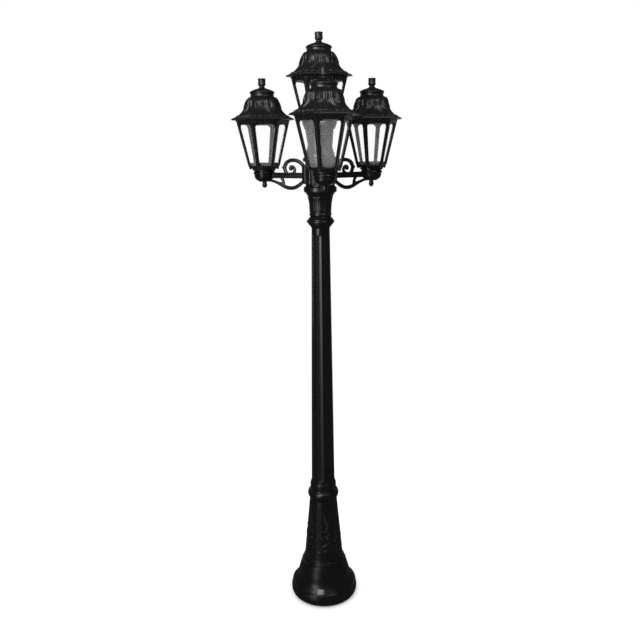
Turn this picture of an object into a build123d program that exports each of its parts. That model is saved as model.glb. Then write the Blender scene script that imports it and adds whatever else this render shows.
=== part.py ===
from build123d import *
import os
from math import cos, sin, radians, sqrt

os.makedirs("parts", exist_ok=True)

# ---------------------------------------------------------------- driving dimensions (mm)
# The post stands on z = 0 with its axis on the Z axis. The front arm points along -Y.
ARM_REACH = 215.5            # post axis to the axis of a side lantern
EAVE_SIDE = 1755.0           # height of the eave of the three side lanterns
EAVE_TOP = 1884.5            # height of the eave of the middle lantern
ARM_ANGLES = {"front": 270.0, "left": 150.0, "right": 30.0}
# each lantern stands a little turned on its seat; angle of its first corner, in the row frame
HEX_TURN = {"front": 280.0 - 30.0, "left": 156.5 - 30.0, "right": 36.0 - 30.0, "top": 265.5 - 30.0}

# glazing cage of a lantern: corner radius as a line between bottom and top
CAGE_BOTTOM_Z, CAGE_TOP_Z = -160.0, -4.5
CAGE_R_BOTTOM = 52.8
CAGE_SLOPE = 0.2445          # corner radius gained per mm of height
CAGE_WALL = 5.0              # wall, square to a face
FLANGE_R = 101.0             # corner radius of the cage's top flange
FLANGE_T = 3.0
GASKET_T = 1.5
STRIP_BOTTOM, STRIP_TOP = -156.45, -145.0   # rubber strip along the feet of the panes
PANE_T = 2.5
WINDOW_TOP_Z, WINDOW_BOTTOM_Z = -19.0, -155.5
BAR_TOP, BAR_BOTTOM = 10.0, 8.0   # what a corner bar takes of each face
SCREW_APOTHEM = 82.0         # distance of the roof screws from the lantern's axis

# roof of a lantern: height above the eave and corner radius
LIP_DROP, LIP_INNER_R = 3.5, 103.5   # the eave's lip hangs below the cage's flange, clear of it
ROOF_OUT = [(-LIP_DROP, 109.0), (-0.5, 106.3), (7.0, 91.5), (15.0, 79.8), (23.5, 70.8), (32.0, 65.2),
            (41.0, 62.3), (50.0, 59.8), (58.5, 56.4), (64.5, 50.8), (69.4, 44.2)]
ROOF_IN = [(3.0, 92.0), (7.0, 84.8), (15.0, 74.2), (23.5, 65.8), (32.0, 60.8),
           (41.0, 58.0), (50.0, 55.5), (58.5, 51.8), (64.0, 45.0)]
BOSS_TOP = 6.5               # top of the screw bosses in the roof
SOFFIT_R = 78.0              # corner radius of the opening in the roof's underside
NECK_R, NECK_TOP, CHIMNEY_R = 39.4, 80.0, 30.0

# seat between a lantern and its cup
SEAT_Z = -172.0              # below the eave
WELL_R, WELL_WALL, WELL_BOTTOM = 24.0, 2.5, -203.0
CUP_INNER_R, CUP_FLOOR_TOP, CUP_BOTTOM = 31.0, -204.5, -209.0
STEM_R, STEM_BORE = 5.0, 3.0
STEM_CLEAR = 0.3
NUT_BORE = 5.05
SOCKET_R, SOCKET_DEPTH = 13.2, 24.0   # E27 thread, large screw size

# post
PLATE_R, PLATE_T = 98.0, 6.0
ANCHOR_PCD, ANCHOR_HOLE_R = 160.0, 5.5
CABLE_ENTRY_R = 15.0
CORE_R, CORE_WALL, CORE_TOP = 21.2, 2.6, 1545.0
FOOT_TOP, COLLAR_TOP, SHAFT_TOP = 394.0, 461.5, 1394.0
SHAFT_SPIGOT_R, SHAFT_R_BOTTOM, SHAFT_R_TOP, SHAFT_WALL = 40.0, 42.4, 31.0, 4.0
CAPITAL_BOTTOM, CAPITAL_TOP = 1434.0, 1531.5
HUB_R, HUB_WALL, HUB_TOP = 50.0, 4.0, 1614.0
LEAD_Z, LEAD_R, LEAD_HOLE_R = 1567.5, 3.0, 4.0
ARM_PLATE_HALF, ARM_BAR_HALF, ARM_SCROLL_HALF = 11.0, 6.5, 4.5
BOLT_Z = (1550.0, 1593.0)


# ---------------------------------------------------------------- small helpers
def hexagon(r):
    """Corners of a six-sided outline of corner radius r, first corner on +x."""
    return [(r * cos(radians(60 * k)), r * sin(radians(60 * k))) for k in range(6)]


def upright(plane):
    """The vertical plane through a lantern's axis: x outward, y up."""
    return Plane(origin=plane.origin, x_dir=plane.x_dir, z_dir=plane.y_dir * -1)


def axis_of(plane):
    return Axis(plane.origin, (0, 0, 1))


def cage_r(z):
    return CAGE_R_BOTTOM + CAGE_SLOPE * (z - CAGE_BOTTOM_Z)


def pane_inner_r(z):
    """Corner radius of the six-sided space that the panes' inner faces enclose."""
    slope = CAGE_SLOPE * cos(radians(30))
    return cage_r(z) - (CAGE_WALL + 0.02 + PANE_T) * sqrt(1 + slope * slope) / cos(radians(30))


def save(solid, name):
    solid.label = name
    export_step(solid, f"parts/{name}.step")


def arm_plane(angle):
    """The vertical plane of an arm: x outward from the post axis, y up."""
    a = radians(angle)
    return Plane(origin=(0, 0, 0), x_dir=(cos(a), sin(a), 0), z_dir=(sin(a), -cos(a), 0))


lantern_planes = {}
for place, turn in HEX_TURN.items():
    t = radians(turn)
    if place == "top":
        centre = (0.0, 0.0, EAVE_TOP)
    else:
        a = radians(ARM_ANGLES[place])
        centre = (ARM_REACH * cos(a), ARM_REACH * sin(a), EAVE_SIDE)
    lantern_planes[place] = Plane(origin=centre, x_dir=(cos(t), sin(t), 0), z_dir=(0, 0, 1))


# ---------------------------------------------------------------- foot of the post
with BuildPart() as ground_plate:
    with BuildSketch():
        Circle(PLATE_R)
        Circle(CABLE_ENTRY_R, mode=Mode.SUBTRACT)
        with PolarLocations(ANCHOR_PCD / 2, 4, start_angle=45):
            Circle(ANCHOR_HOLE_R, mode=Mode.SUBTRACT)
    extrude(amount=PLATE_T)
save(ground_plate.part, "ground_plate")

with BuildPart() as core_tube:
    with BuildSketch(Plane.XY.offset(PLATE_T)):
        Circle(CORE_R)
        Circle(CORE_R - CORE_WALL, mode=Mode.SUBTRACT)
    extrude(amount=CORE_TOP - PLATE_T)
save(core_tube.part, "core_tube")

foot_outer = [(102, 0), (109, 1), (115.4, 4), (120.4, 8.6), (123.2, 14.5), (124.2, 21), (124.2, 28), (122.8, 36),
              (119.2, 45.6), (115, 52), (110.4, 58), (105.6, 64), (101.2, 70.5), (98, 77.5), (96, 86), (94.3, 96),
              (90, 112), (84.6, 130.5), (82.2, 138), (77.4, 142), (77.6, 146), (74.6, 151), (72.2, 157), (70.9, 166),
              (50.4, 388), (50.4, FOOT_TOP)]
foot_inner = [(38, FOOT_TOP), (38, 386), (46, 383), (66.8, 166), (70.4, 150), (78.4, 136), (86, 112), (91.6, 90),
              (94.4, 76), (101.6, 63), (110.8, 51), (117.4, 40), (119.8, 28), (119, 19), (112, 11), (104, 6.5),
              (98, 6.5), (98, 0)]
with BuildPart() as base:
    with BuildSketch(Plane.XZ):
        with BuildLine():
            Polyline(*foot_outer, *foot_inner, close=True)
        make_face()
    revolve(axis=Axis.Z)
save(base.part, "base")

# small bright plate on the sloping front of the foot, just above its lip
clip_a = radians(-100.8)
clip_plane = Plane(origin=(110.0 * cos(clip_a), 110.0 * sin(clip_a), 59.5),
                   x_dir=(-sin(clip_a), cos(clip_a), 0),
                   z_dir=(cos(clip_a) * 0.80, sin(clip_a) * 0.80, 0.60))
with BuildPart() as cover_plate:
    with BuildSketch(clip_plane.offset(-4)):
        RectangleRounded(23.5, 19.5, 2)
    extrude(amount=6.0)
    with BuildSketch(Plane.XZ):
        with BuildLine():
            Polyline(*foot_outer, (0, FOOT_TOP), (0, 0), close=True)
        make_face()
    revolve(axis=Axis.Z, mode=Mode.SUBTRACT)
save(cover_plate.part, "cover_plate")

with BuildPart() as base_collar:
    with BuildSketch(Plane.XZ):
        with BuildLine():
            Polyline((SHAFT_SPIGOT_R, FOOT_TOP), (49.4, FOOT_TOP), (50.8, 396.6), (53.6, 400.4), (55.6, 404.6),
                     (56.6, 409.5), (56.7, 414), (55.8, 419), (53.4, 423.4), (50.4, 426), (46.4, 429.8), (45.6, 432),
                     (46.7, 434.6), (47.4, 438), (47.5, 444), (47.4, 451), (46.8, 456), (45.2, 459.4),
                     (43.4, COLLAR_TOP), (SHAFT_SPIGOT_R, COLLAR_TOP), close=True)
        make_face()
    revolve(axis=Axis.Z)
save(base_collar.part, "base_collar")

# ---------------------------------------------------------------- shaft, collar ring, capital
with BuildPart() as shaft:
    with BuildSketch(Plane.XZ):
        with BuildLine():
            Polyline((SHAFT_SPIGOT_R, FOOT_TOP), (SHAFT_SPIGOT_R, COLLAR_TOP), (SHAFT_R_BOTTOM, COLLAR_TOP),
                     (SHAFT_R_TOP, SHAFT_TOP), (SHAFT_R_TOP - SHAFT_WALL, SHAFT_TOP),
                     (SHAFT_SPIGOT_R - SHAFT_WALL, COLLAR_TOP), (SHAFT_SPIGOT_R - SHAFT_WALL, FOOT_TOP), close=True)
        make_face()
    revolve(axis=Axis.Z)
save(shaft.part, "shaft")

with BuildPart() as collar_ring:
    with BuildSketch(Plane.XZ):
        with BuildLine():
            Polyline((24, SHAFT_TOP), (31.8, SHAFT_TOP), (34, 1399.5), (38.6, 1404.6), (42.6, 1408.4), (43.2, 1411),
                     (46.2, 1413), (47, 1416), (46.2, 1419.4), (43.6, 1421.4), (43.2, 1425.4), (39.8, 1429.4),
                     (36.4, 1432), (34, CAPITAL_BOTTOM), (24, CAPITAL_BOTTOM), close=True)
        make_face()
    revolve(axis=Axis.Z)
save(collar_ring.part, "collar_ring")

with BuildPart() as capital:
    with BuildSketch(Plane.XZ):
        with BuildLine():
            Polyline((24, CAPITAL_BOTTOM), (34, CAPITAL_BOTTOM), (36.8, 1437), (37.5, 1440), (36.8, 1443), (36.2, 1445),
                     (37.2, 1460), (38.2, 1475), (40.6, 1490), (43.8, 1502), (48, 1509.5), (52.6, 1513.6), (55, 1516),
                     (55.4, 1519), (55.4, 1529), (54.4, CAPITAL_TOP), (46, CAPITAL_TOP), (46, 1521), (37, 1507), (33, 1492),
                     (31, 1475), (30.5, 1446), (24, 1444), close=True)
        make_face()
    revolve(axis=Axis.Z)
save(capital.part, "capital")

# ---------------------------------------------------------------- hub drum with its shelf, wire holes and bolt holes
with BuildPart() as hub:
    with BuildSketch(Plane.XY.offset(CAPITAL_TOP)):
        Circle(HUB_R)
        Circle(CORE_R, mode=Mode.SUBTRACT)
    extrude(amount=4)
    with BuildSketch(Plane.XY.offset(CAPITAL_TOP)):
        Circle(HUB_R)
        Circle(HUB_R - HUB_WALL, mode=Mode.SUBTRACT)
    extrude(amount=HUB_TOP - CAPITAL_TOP)
    # shelf across the drum that carries the terminal block
    with BuildSketch(Plane.XY.offset(1553)):
        Rectangle(2 * (HUB_R - HUB_WALL) + 2, 12)
        Circle(9, mode=Mode.SUBTRACT)
    extrude(amount=4)
    for angle in ARM_ANGLES.values():
        ap = arm_plane(angle)
        out = Plane(origin=(0, 0, 0), x_dir=(0, 0, 1), z_dir=ap.x_dir)
        with BuildSketch(out.offset(30)):
            with Locations((LEAD_Z, 0)):
                Circle(LEAD_HOLE_R)
            for z in BOLT_Z:
                with Locations((z, 0)):
                    Circle(3.3)
        extrude(amount=30, mode=Mode.SUBTRACT)
save(hub.part, "hub")

with BuildPart() as terminal_block:
    with BuildSketch(Plane.XY.offset(1557)):
        RegularPolygon(15, 6, rotation=0)
    extrude(amount=22)
    # wire entry from below and clamping screws in the top
    with BuildSketch(Plane.XY.offset(1557)):
        Circle(5)
    extrude(amount=8, mode=Mode.SUBTRACT)
    with BuildSketch(Plane.XY.offset(1579)):
        with PolarLocations(9.5, 3, start_angle=90):
            Circle(2)
    extrude(amount=-4, mode=Mode.SUBTRACT)
save(terminal_block.part, "terminal_block")

with BuildPart() as arm_bolts:
    for angle in ARM_ANGLES.values():
        ap = arm_plane(angle)
        out = Plane(origin=(0, 0, 0), x_dir=(0, 0, 1), z_dir=ap.x_dir)
        for z in BOLT_Z:
            with BuildSketch(out.offset(39.6)):
                with Locations((z, 0)):
                    RegularPolygon(5.5, 6)
            extrude(amount=6)
            with BuildSketch(out.offset(45)):
                with Locations((z, 0)):
                    Circle(3)
            extrude(amount=15)
save(arm_bolts.part, "arm_bolts")

with BuildPart() as hub_cap:
    with BuildSketch(Plane.XZ):
        with BuildLine():
            Polyline((44, HUB_TOP), (55, HUB_TOP), (57, 1616), (57.3, 1620), (56.8, 1624), (54, 1628), (49.6, 1629.5),
                     (48.8, 1636), (46.4, 1643), (43.6, 1652), (40.8, 1664), (39.8, 1676), (40.2, 1685.5),
                     (41.6, 1694.5), (42.4, 1697.5), (43.6, 1701.5), (43.6, 1704.5), (42.2, 1707.5), (42.8, 1710.5),
                     (42.8, EAVE_TOP + SEAT_Z), (CUP_INNER_R, EAVE_TOP + SEAT_Z),
                     (CUP_INNER_R, EAVE_TOP + CUP_FLOOR_TOP), (STEM_R + STEM_CLEAR, EAVE_TOP + CUP_FLOOR_TOP),
                     (STEM_R + STEM_CLEAR, EAVE_TOP + CUP_BOTTOM), (35.5, EAVE_TOP + CUP_BOTTOM), (36.5, 1662),
                     (40, 1648), (44, 1636), close=True)
        make_face()
    revolve(axis=Axis.Z)
    # hole beside the stem for the middle lantern's lead
    with BuildSketch(Plane.XY.offset(1660)):
        with Locations((0, 17)):
            Circle(LEAD_HOLE_R)
    extrude(amount=25, mode=Mode.SUBTRACT)
save(hub_cap.part, "hub_cap")


# ---------------------------------------------------------------- arms: wall plate, bar, two scrolls, end cup
def cup_outline(z0):
    """Outer side of an arm's end cup, from the rim down to the bottom, as (radius, height)."""
    pts = [(34.2, SEAT_Z), (34.2, -175.0), (37.0, -177.0), (37.6, -179.5), (37.0, -182.0), (34.4, -184.5),
           (34.4, -186.0), (35.2, -188.7), (34.6, -191.5), (32.9, -196.0), (30.0, -200.0), (26.0, -203.6),
           (21.5, -206.4), (19.0, -207.6), (17.0, CUP_BOTTOM)]
    return [(r, z + z0) for r, z in pts]


cup_cavity = [(CUP_INNER_R, SEAT_Z), (CUP_INNER_R, -190.0), (29.5, -196.0), (26.8, -200.5), (24.5, CUP_FLOOR_TOP)]

for place, angle in ARM_ANGLES.items():
    ap = arm_plane(angle)
    out = Plane(origin=(0, 0, 0), x_dir=(0, 0, 1), z_dir=ap.x_dir)
    cup_axis = Axis(ap.from_local_coords((ARM_REACH, 0, 0)), (0, 0, 1))
    with BuildPart() as arm:
        # wall plate against the drum, with a rounded nub at its foot
        with BuildSketch(ap):
            with BuildLine():
                Polyline((44, 1546), (50, 1540), (57, 1537.5), (63, 1541), (66, 1547), (66, 1600), (62, 1604), (44, 1604),
                         close=True)
            make_face()
        extrude(amount=ARM_PLATE_HALF, both=True)
        # bar
        with BuildSketch(ap):
            with Locations(((60 + 189.5) / 2, LEAD_Z)):
                Rectangle(189.5 - 60, 19)
        extrude(amount=ARM_BAR_HALF, both=True)
        # upper volute: from the plate's top over and down to the bar, then up again into its eye
        with BuildSketch(ap):
            with BuildLine():
                l1 = ThreePointArc((61, 1598.5), (78, 1611), (103, 1618.5))
                l2 = ThreePointArc(l1 @ 1, (127, 1608), (133.5, 1593))
                l3 = ThreePointArc(l2 @ 1, (134, 1583), (129, 1574))
            trace(line_width=12)
            with BuildLine():
                m1 = ThreePointArc((100, 1573), (93.5, 1580), (95.5, 1590))
                m2 = ThreePointArc(m1 @ 1, (102, 1596.5), (109, 1593))
            trace(line_width=9)
            with Locations((110, 1592)):
                Circle(7.6)
            with Locations((138, 1594)):
                Circle(5)
        extrude(amount=ARM_SCROLL_HALF, both=True)
        # lower S-scroll from the foot of the plate, under the bar, to the cup, with its leaf-shaped link
        with BuildSketch(ap):
            with BuildLine():
                n1 = ThreePointArc((62, 1545), (88, 1529), (115, 1525))
                n2 = ThreePointArc(n1 @ 1, (134, 1529.5), (152, 1537.5))
            trace(line_width=12.5)
            with BuildLine():
                n3 = ThreePointArc((146, 1534.6), (175, 1547), (202, 1549.5))
            trace(line_width=9)
            with BuildLine():
                Polyline((144, 1562), (156, 1562), (151.5, 1553), (151, 1546), (158, 1541), (150, 1534), (140, 1534),
                         (139.5, 1546), close=True)
            make_face()
        extrude(amount=ARM_SCROLL_HALF, both=True)
        # end cup
        with BuildSketch(ap):
            with BuildLine():
                Polyline(*[(ARM_REACH + r, z) for r, z in cup_outline(EAVE_SIDE)],
                         (ARM_REACH, EAVE_SIDE + CUP_BOTTOM), (ARM_REACH, EAVE_SIDE + SEAT_Z), close=True)
            make_face()
        revolve(axis=cup_axis)
        with BuildSketch(ap):
            with BuildLine():
                Polyline(*[(ARM_REACH + r, z + EAVE_SIDE) for r, z in cup_cavity],
                         (ARM_REACH, EAVE_SIDE + CUP_FLOOR_TOP), (ARM_REACH, EAVE_SIDE + SEAT_Z + 5),
                         (ARM_REACH + CUP_INNER_R, EAVE_SIDE + SEAT_Z + 5), close=True)
            make_face()
        revolve(axis=cup_axis, mode=Mode.SUBTRACT)
        with BuildSketch(Plane(origin=ap.from_local_coords((ARM_REACH, EAVE_SIDE + CUP_BOTTOM - 1, 0)), z_dir=(0, 0, 1))):
            Circle(STEM_R + STEM_CLEAR)
        extrude(amount=10, mode=Mode.SUBTRACT)
        # the drum's place, the wire channel and the two bolt holes
        with BuildSketch(Plane.XY.offset(1520)):
            Circle(HUB_R)
        extrude(amount=110, mode=Mode.SUBTRACT)
        with BuildSketch(out.offset(40)):
            with Locations((LEAD_Z, 0)):
                Circle(LEAD_HOLE_R)
        extrude(amount=ARM_REACH - 40 - 20, mode=Mode.SUBTRACT)
        with BuildSketch(out.offset(40)):
            for z in BOLT_Z:
                with Locations((z, 0)):
                    Circle(3)
        extrude(amount=20, mode=Mode.SUBTRACT)
    save(arm.part, f"arm_{place}")

with BuildPart() as lamp_leads:
    for angle in ARM_ANGLES.values():
        ap = arm_plane(angle)
        out = Plane(origin=(0, 0, 0), x_dir=(0, 0, 1), z_dir=ap.x_dir)
        with BuildSketch(out.offset(13.0)):
            with Locations((LEAD_Z, 0)):
                Circle(LEAD_R)
        extrude(amount=186.5 - 13.0)
    # the middle lantern's lead rises from the block's top, steps aside and goes on up beside the stem
    with BuildSketch(Plane.XY.offset(1579)):
        Circle(LEAD_R)
    with BuildLine():
        FilletPolyline((0, 0, 1579), (0, 0, 1606), (0, 17, 1636), (0, 17, 1679.5), radius=[20, 20])
    sweep()
save(lamp_leads.part, "lamp_leads")

# ---------------------------------------------------------------- the four lanterns
for place, lp in lantern_planes.items():
    vp = upright(lp)
    ax = axis_of(lp)

    with BuildPart() as roof:
        for z, r in ROOF_OUT:
            with BuildSketch(lp.offset(z)):
                with BuildLine():
                    Polyline(*hexagon(r), close=True)
                make_face()
        loft(ruled=True)
        with BuildSketch(lp.offset(64)):
            Circle(NECK_R)
        extrude(amount=NECK_TOP - 64)
        for z, r in ROOF_IN:
            with BuildSketch(lp.offset(z)):
                with BuildLine():
                    Polyline(*hexagon(r), close=True)
                make_face()
        loft(ruled=True, mode=Mode.SUBTRACT)
        with BuildSketch(lp.offset(-1)):
            with BuildLine():
                Polyline(*hexagon(SOFFIT_R), close=True)
            make_face()
        extrude(amount=6, mode=Mode.SUBTRACT)
        with BuildSketch(lp.offset(-LIP_DROP)):
            with BuildLine():
                Polyline(*hexagon(LIP_INNER_R), close=True)
            make_face()
        extrude(amount=LIP_DROP, mode=Mode.SUBTRACT)
        with BuildSketch(lp.offset(60)):
            Circle(CHIMNEY_R)
        extrude(amount=30, mode=Mode.SUBTRACT)
        with BuildSketch(lp):
            with PolarLocations(SCREW_APOTHEM, 3, start_angle=90):
                Circle(4.5)
        extrude(amount=BOSS_TOP)
        with BuildSketch(lp.offset(BOSS_TOP)):
            with PolarLocations(SCREW_APOTHEM, 3, start_angle=90):
                Circle(4.5)
        extrude(amount=12, mode=Mode.SUBTRACT)
        with BuildSketch(lp.offset(-1)):
            with PolarLocations(SCREW_APOTHEM, 3, start_angle=90):
                Circle(2.3)
        extrude(amount=20, mode=Mode.SUBTRACT)
    save(roof.part, f"roof_{place}")

    with BuildPart() as vent_cap:
        with BuildSketch(vp):
            with BuildLine():
                Polyline((NECK_R - 3.4, NECK_TOP), (NECK_R, NECK_TOP), (41.4, 82.6), (42.2, 85.0), (41.4, 87.8),
                         (39.4, 89.4), (33.8, 92.4), (24.5, 95.8), (14.6, 98.8), (10.6, 101.0), (10.2, 102.0),
                         (3.0, 102.0), (3.0, 96.5), (10.0, 96.5), (24.0, 91.8), (33.0, 88.6), (37.6, 85.5), (37.6, 84.0),
                         close=True)
            make_face()
        revolve(axis=ax)
    save(vent_cap.part, f"vent_cap_{place}")

    with BuildPart() as finial:
        with BuildSketch(vp):
            with BuildLine():
                Polyline((0, 93.5), (3.0, 93.5), (3.0, 102.0), (9.6, 102.0), (9.3, 104.5), (10.2, 107.0), (12.6, 109.4),
                         (13.2, 112.0), (12.9, 116.0), (12.5, 119.0), (12.5, 126.0), (12.9, 129.0), (12.2, 130.6),
                         (11.0, 131.2), (0, 131.4), close=True)
            make_face()
        revolve(axis=ax)
    save(finial.part, f"finial_{place}")

    with BuildPart() as roof_screws:
        with BuildSketch(lp.offset(BOSS_TOP)):
            with PolarLocations(SCREW_APOTHEM, 3, start_angle=90):
                Circle(3.8)
        extrude(amount=2.4)
        with BuildSketch(lp.offset(-6)):
            with PolarLocations(SCREW_APOTHEM, 3, start_angle=90):
                Circle(2.0)
        extrude(amount=BOSS_TOP + 6)
    save(roof_screws.part, f"roof_screws_{place}")

    with BuildPart() as gasket:
        with BuildSketch(lp.offset(-GASKET_T)):
            with BuildLine():
                Polyline(*hexagon(91.3), close=True)
            make_face()
            with BuildLine():
                Polyline(*hexagon(86.2), close=True)
            make_face(mode=Mode.SUBTRACT)
        extrude(amount=GASKET_T)
        # strip that holds the feet of the panes, standing on the cage's floor inside them
        for inset, mode in ((0.1, Mode.ADD), (3.1, Mode.SUBTRACT)):
            for z in (STRIP_BOTTOM, STRIP_TOP):
                with BuildSketch(lp.offset(z)):
                    with BuildLine():
                        Polyline(*hexagon(pane_inner_r(z) - inset / cos(radians(30))), close=True)
                    make_face()
            loft(ruled=True, mode=mode)
    save(gasket.part, f"gasket_{place}")

    with BuildPart() as cage:
        wall_c = CAGE_WALL / cos(radians(30))
        for z in (CAGE_BOTTOM_Z, CAGE_TOP_Z):
            with BuildSketch(lp.offset(z)):
                with BuildLine():
                    Polyline(*hexagon(cage_r(z)), close=True)
                make_face()
        loft(ruled=True)
        with BuildSketch(lp.offset(CAGE_TOP_Z)):
            with BuildLine():
                Polyline(*hexagon(FLANGE_R), close=True)
            make_face()
        extrude(amount=FLANGE_T)
        for z in (CAGE_BOTTOM_Z + 3.5, -GASKET_T + 1):
            with BuildSketch(lp.offset(z)):
                with BuildLine():
                    Polyline(*hexagon(cage_r(z) - wall_c), close=True)
                make_face()
        loft(ruled=True, mode=Mode.SUBTRACT)
        with BuildSketch(lp.offset(CAGE_BOTTOM_Z - 1)):
            Circle(34)
        extrude(amount=8, mode=Mode.SUBTRACT)
        # six windows with rounded corners
        s = CAGE_SLOPE * cos(radians(30))
        m = sqrt(1 + s * s)
        for k in range(6):
            d = Vector(lp.x_dir.X, lp.x_dir.Y, 0).rotate(Axis.Z, 30 + 60 * k)
            t = Vector(-d.Y, d.X, 0)
            n = Vector(d.X / m, d.Y / m, -s / m)
            a0 = cage_r(-90) * cos(radians(30))
            o = Vector(lp.origin.X + d.X * a0, lp.origin.Y + d.Y * a0, lp.origin.Z - 90)
            with BuildSketch(Plane(origin=o, x_dir=t, z_dir=n)):
                ht, hb = cage_r(WINDOW_TOP_Z) / 2 - BAR_TOP, cage_r(WINDOW_BOTTOM_Z) / 2 - BAR_BOTTOM
                yt, yb = (WINDOW_TOP_Z + 90) * m, (WINDOW_BOTTOM_Z + 90) * m
                with BuildLine():
                    Polyline((-hb, yb), (hb, yb), (ht, yt), (-ht, yt), close=True)
                make_face()
                fillet(vertices().sort_by(Axis.Y)[:2], 9)
                fillet(vertices().sort_by(Axis.Y)[-2:], 12)
            extrude(amount=9, both=True, mode=Mode.SUBTRACT)
        with BuildSketch(lp.offset(-10)):
            with PolarLocations(SCREW_APOTHEM, 3, start_angle=90):
                Circle(2.1)
        extrude(amount=12, mode=Mode.SUBTRACT)
    save(cage.part, f"cage_{place}")

    with BuildPart() as panes:
        s = CAGE_SLOPE * cos(radians(30))
        m = sqrt(1 + s * s)
        top_z, bottom_z = WINDOW_TOP_Z + 4, WINDOW_BOTTOM_Z - 0.5
        for k in range(6):
            d = Vector(lp.x_dir.X, lp.x_dir.Y, 0).rotate(Axis.Z, 30 + 60 * k)
            t = Vector(-d.Y, d.X, 0)
            n = Vector(d.X / m, d.Y / m, -s / m)
            a0 = cage_r(-90) * cos(radians(30)) - CAGE_WALL - 0.02
            o = Vector(lp.origin.X + d.X * a0, lp.origin.Y + d.Y * a0, lp.origin.Z - 90)
            ri_t, ri_b = cage_r(top_z) - wall_c, cage_r(bottom_z) - wall_c
            ht, hb = ri_t / 2 - 1.7, ri_b / 2 - 1.7
            yt, yb = (top_z + 90) * m, (bottom_z + 90) * m
            with BuildSketch(Plane(origin=o, x_dir=t, z_dir=n)):
                with BuildLine():
                    Polyline((-hb, yb), (hb, yb), (ht, yt), (-ht, yt), close=True)
                make_face()
            extrude(amount=-PANE_T)
    save(panes.part, f"panes_{place}")

    with BuildPart() as gallery:
        with BuildSketch(vp):
            with BuildLine():
                Polyline((WELL_R - WELL_WALL, CAGE_BOTTOM_Z), (45.5, CAGE_BOTTOM_Z), (45.5, -162.0), (43.5, -165.0),
                         (40.5, -167.0), (39.5, -169.0), (39.0, SEAT_Z), (WELL_R, SEAT_Z), (WELL_R, -200.5),
                         (22.0, WELL_BOTTOM), (STEM_R, WELL_BOTTOM), (STEM_R, -200.0), (WELL_R - WELL_WALL, -200.0),
                         close=True)
            make_face()
        revolve(axis=ax)
    save(gallery.part, f"gallery_{place}")

    with BuildPart() as lampholder:
        with BuildSketch(vp):
            with BuildLine():
                Polyline((STEM_R, -200.0), (18.5, -200.0), (19.5, -196.0), (19.5, -174.0), (17.5, -170.0),
                         (17.5, -159.0), (SOCKET_R, -159.0), (SOCKET_R, -159.0 - SOCKET_DEPTH), (9.0, -183.0),
                         (9.0, -194.5), (STEM_R, -194.5), close=True)
            make_face()
        revolve(axis=ax)
        with BuildSketch(lp.offset(-186.5)):
            Circle(9.5)
        extrude(amount=3.5)
    save(lampholder.part, f"lampholder_{place}")

    with BuildPart() as stem:
        with BuildSketch(lp.offset(-222)):
            Circle(STEM_R)
            Circle(STEM_BORE, mode=Mode.SUBTRACT)
        extrude(amount=26)
    save(stem.part, f"stem_{place}")

    if place == "top":
        with BuildPart() as top_locknut:
            with BuildSketch(lp.offset(-217)):
                RegularPolygon(9.8, 6)
                Circle(STEM_R, mode=Mode.SUBTRACT)
            extrude(amount=8)
        save(top_locknut.part, "top_locknut")
    else:
        with BuildPart() as ball_nut:
            with BuildSketch(vp):
                with BuildLine():
                    Polyline((NUT_BORE, CUP_BOTTOM), (7.6, CUP_BOTTOM), (7.4, -213.6), (8.4, -216.8), (8.9, -220.2),
                             (8.4, -223.8), (6.6, -227.2), (3.8, -229.4), (0, -230.2), (0, -223.0),
                             (NUT_BORE, -223.0), close=True)
                make_face()
            revolve(axis=ax)
        save(ball_nut.part, f"ball_nut_{place}")
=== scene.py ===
import bpy
import math
import numpy as np
from mathutils import Matrix, Vector


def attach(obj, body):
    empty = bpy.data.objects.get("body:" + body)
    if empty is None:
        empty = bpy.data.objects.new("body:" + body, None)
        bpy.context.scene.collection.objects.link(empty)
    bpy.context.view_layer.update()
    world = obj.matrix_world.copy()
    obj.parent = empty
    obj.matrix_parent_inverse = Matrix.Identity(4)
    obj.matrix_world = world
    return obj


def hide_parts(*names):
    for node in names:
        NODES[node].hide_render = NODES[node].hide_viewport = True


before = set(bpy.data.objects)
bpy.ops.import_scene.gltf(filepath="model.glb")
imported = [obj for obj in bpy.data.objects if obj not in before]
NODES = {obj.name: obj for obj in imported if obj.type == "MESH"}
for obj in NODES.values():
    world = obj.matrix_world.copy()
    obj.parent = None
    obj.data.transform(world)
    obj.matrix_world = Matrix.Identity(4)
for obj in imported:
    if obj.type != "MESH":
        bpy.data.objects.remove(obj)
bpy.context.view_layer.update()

PI = math.pi
RAD = PI / 180.0

# ------------------------------------------------------------------ places, in mm, as in the CAD
REACH, EAVE_SIDE, EAVE_TOP = 215.5, 1755.0, 1884.5
ARMS = {"front": 270.0, "left": 150.0, "right": 30.0}
TURN = {"front": 250.0, "left": 126.5, "right": 6.0, "top": 235.5}
PLACE = {p: (REACH * math.cos(a * RAD), REACH * math.sin(a * RAD), EAVE_SIDE) for p, a in ARMS.items()}
PLACE["top"] = (0.0, 0.0, EAVE_TOP)


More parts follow.
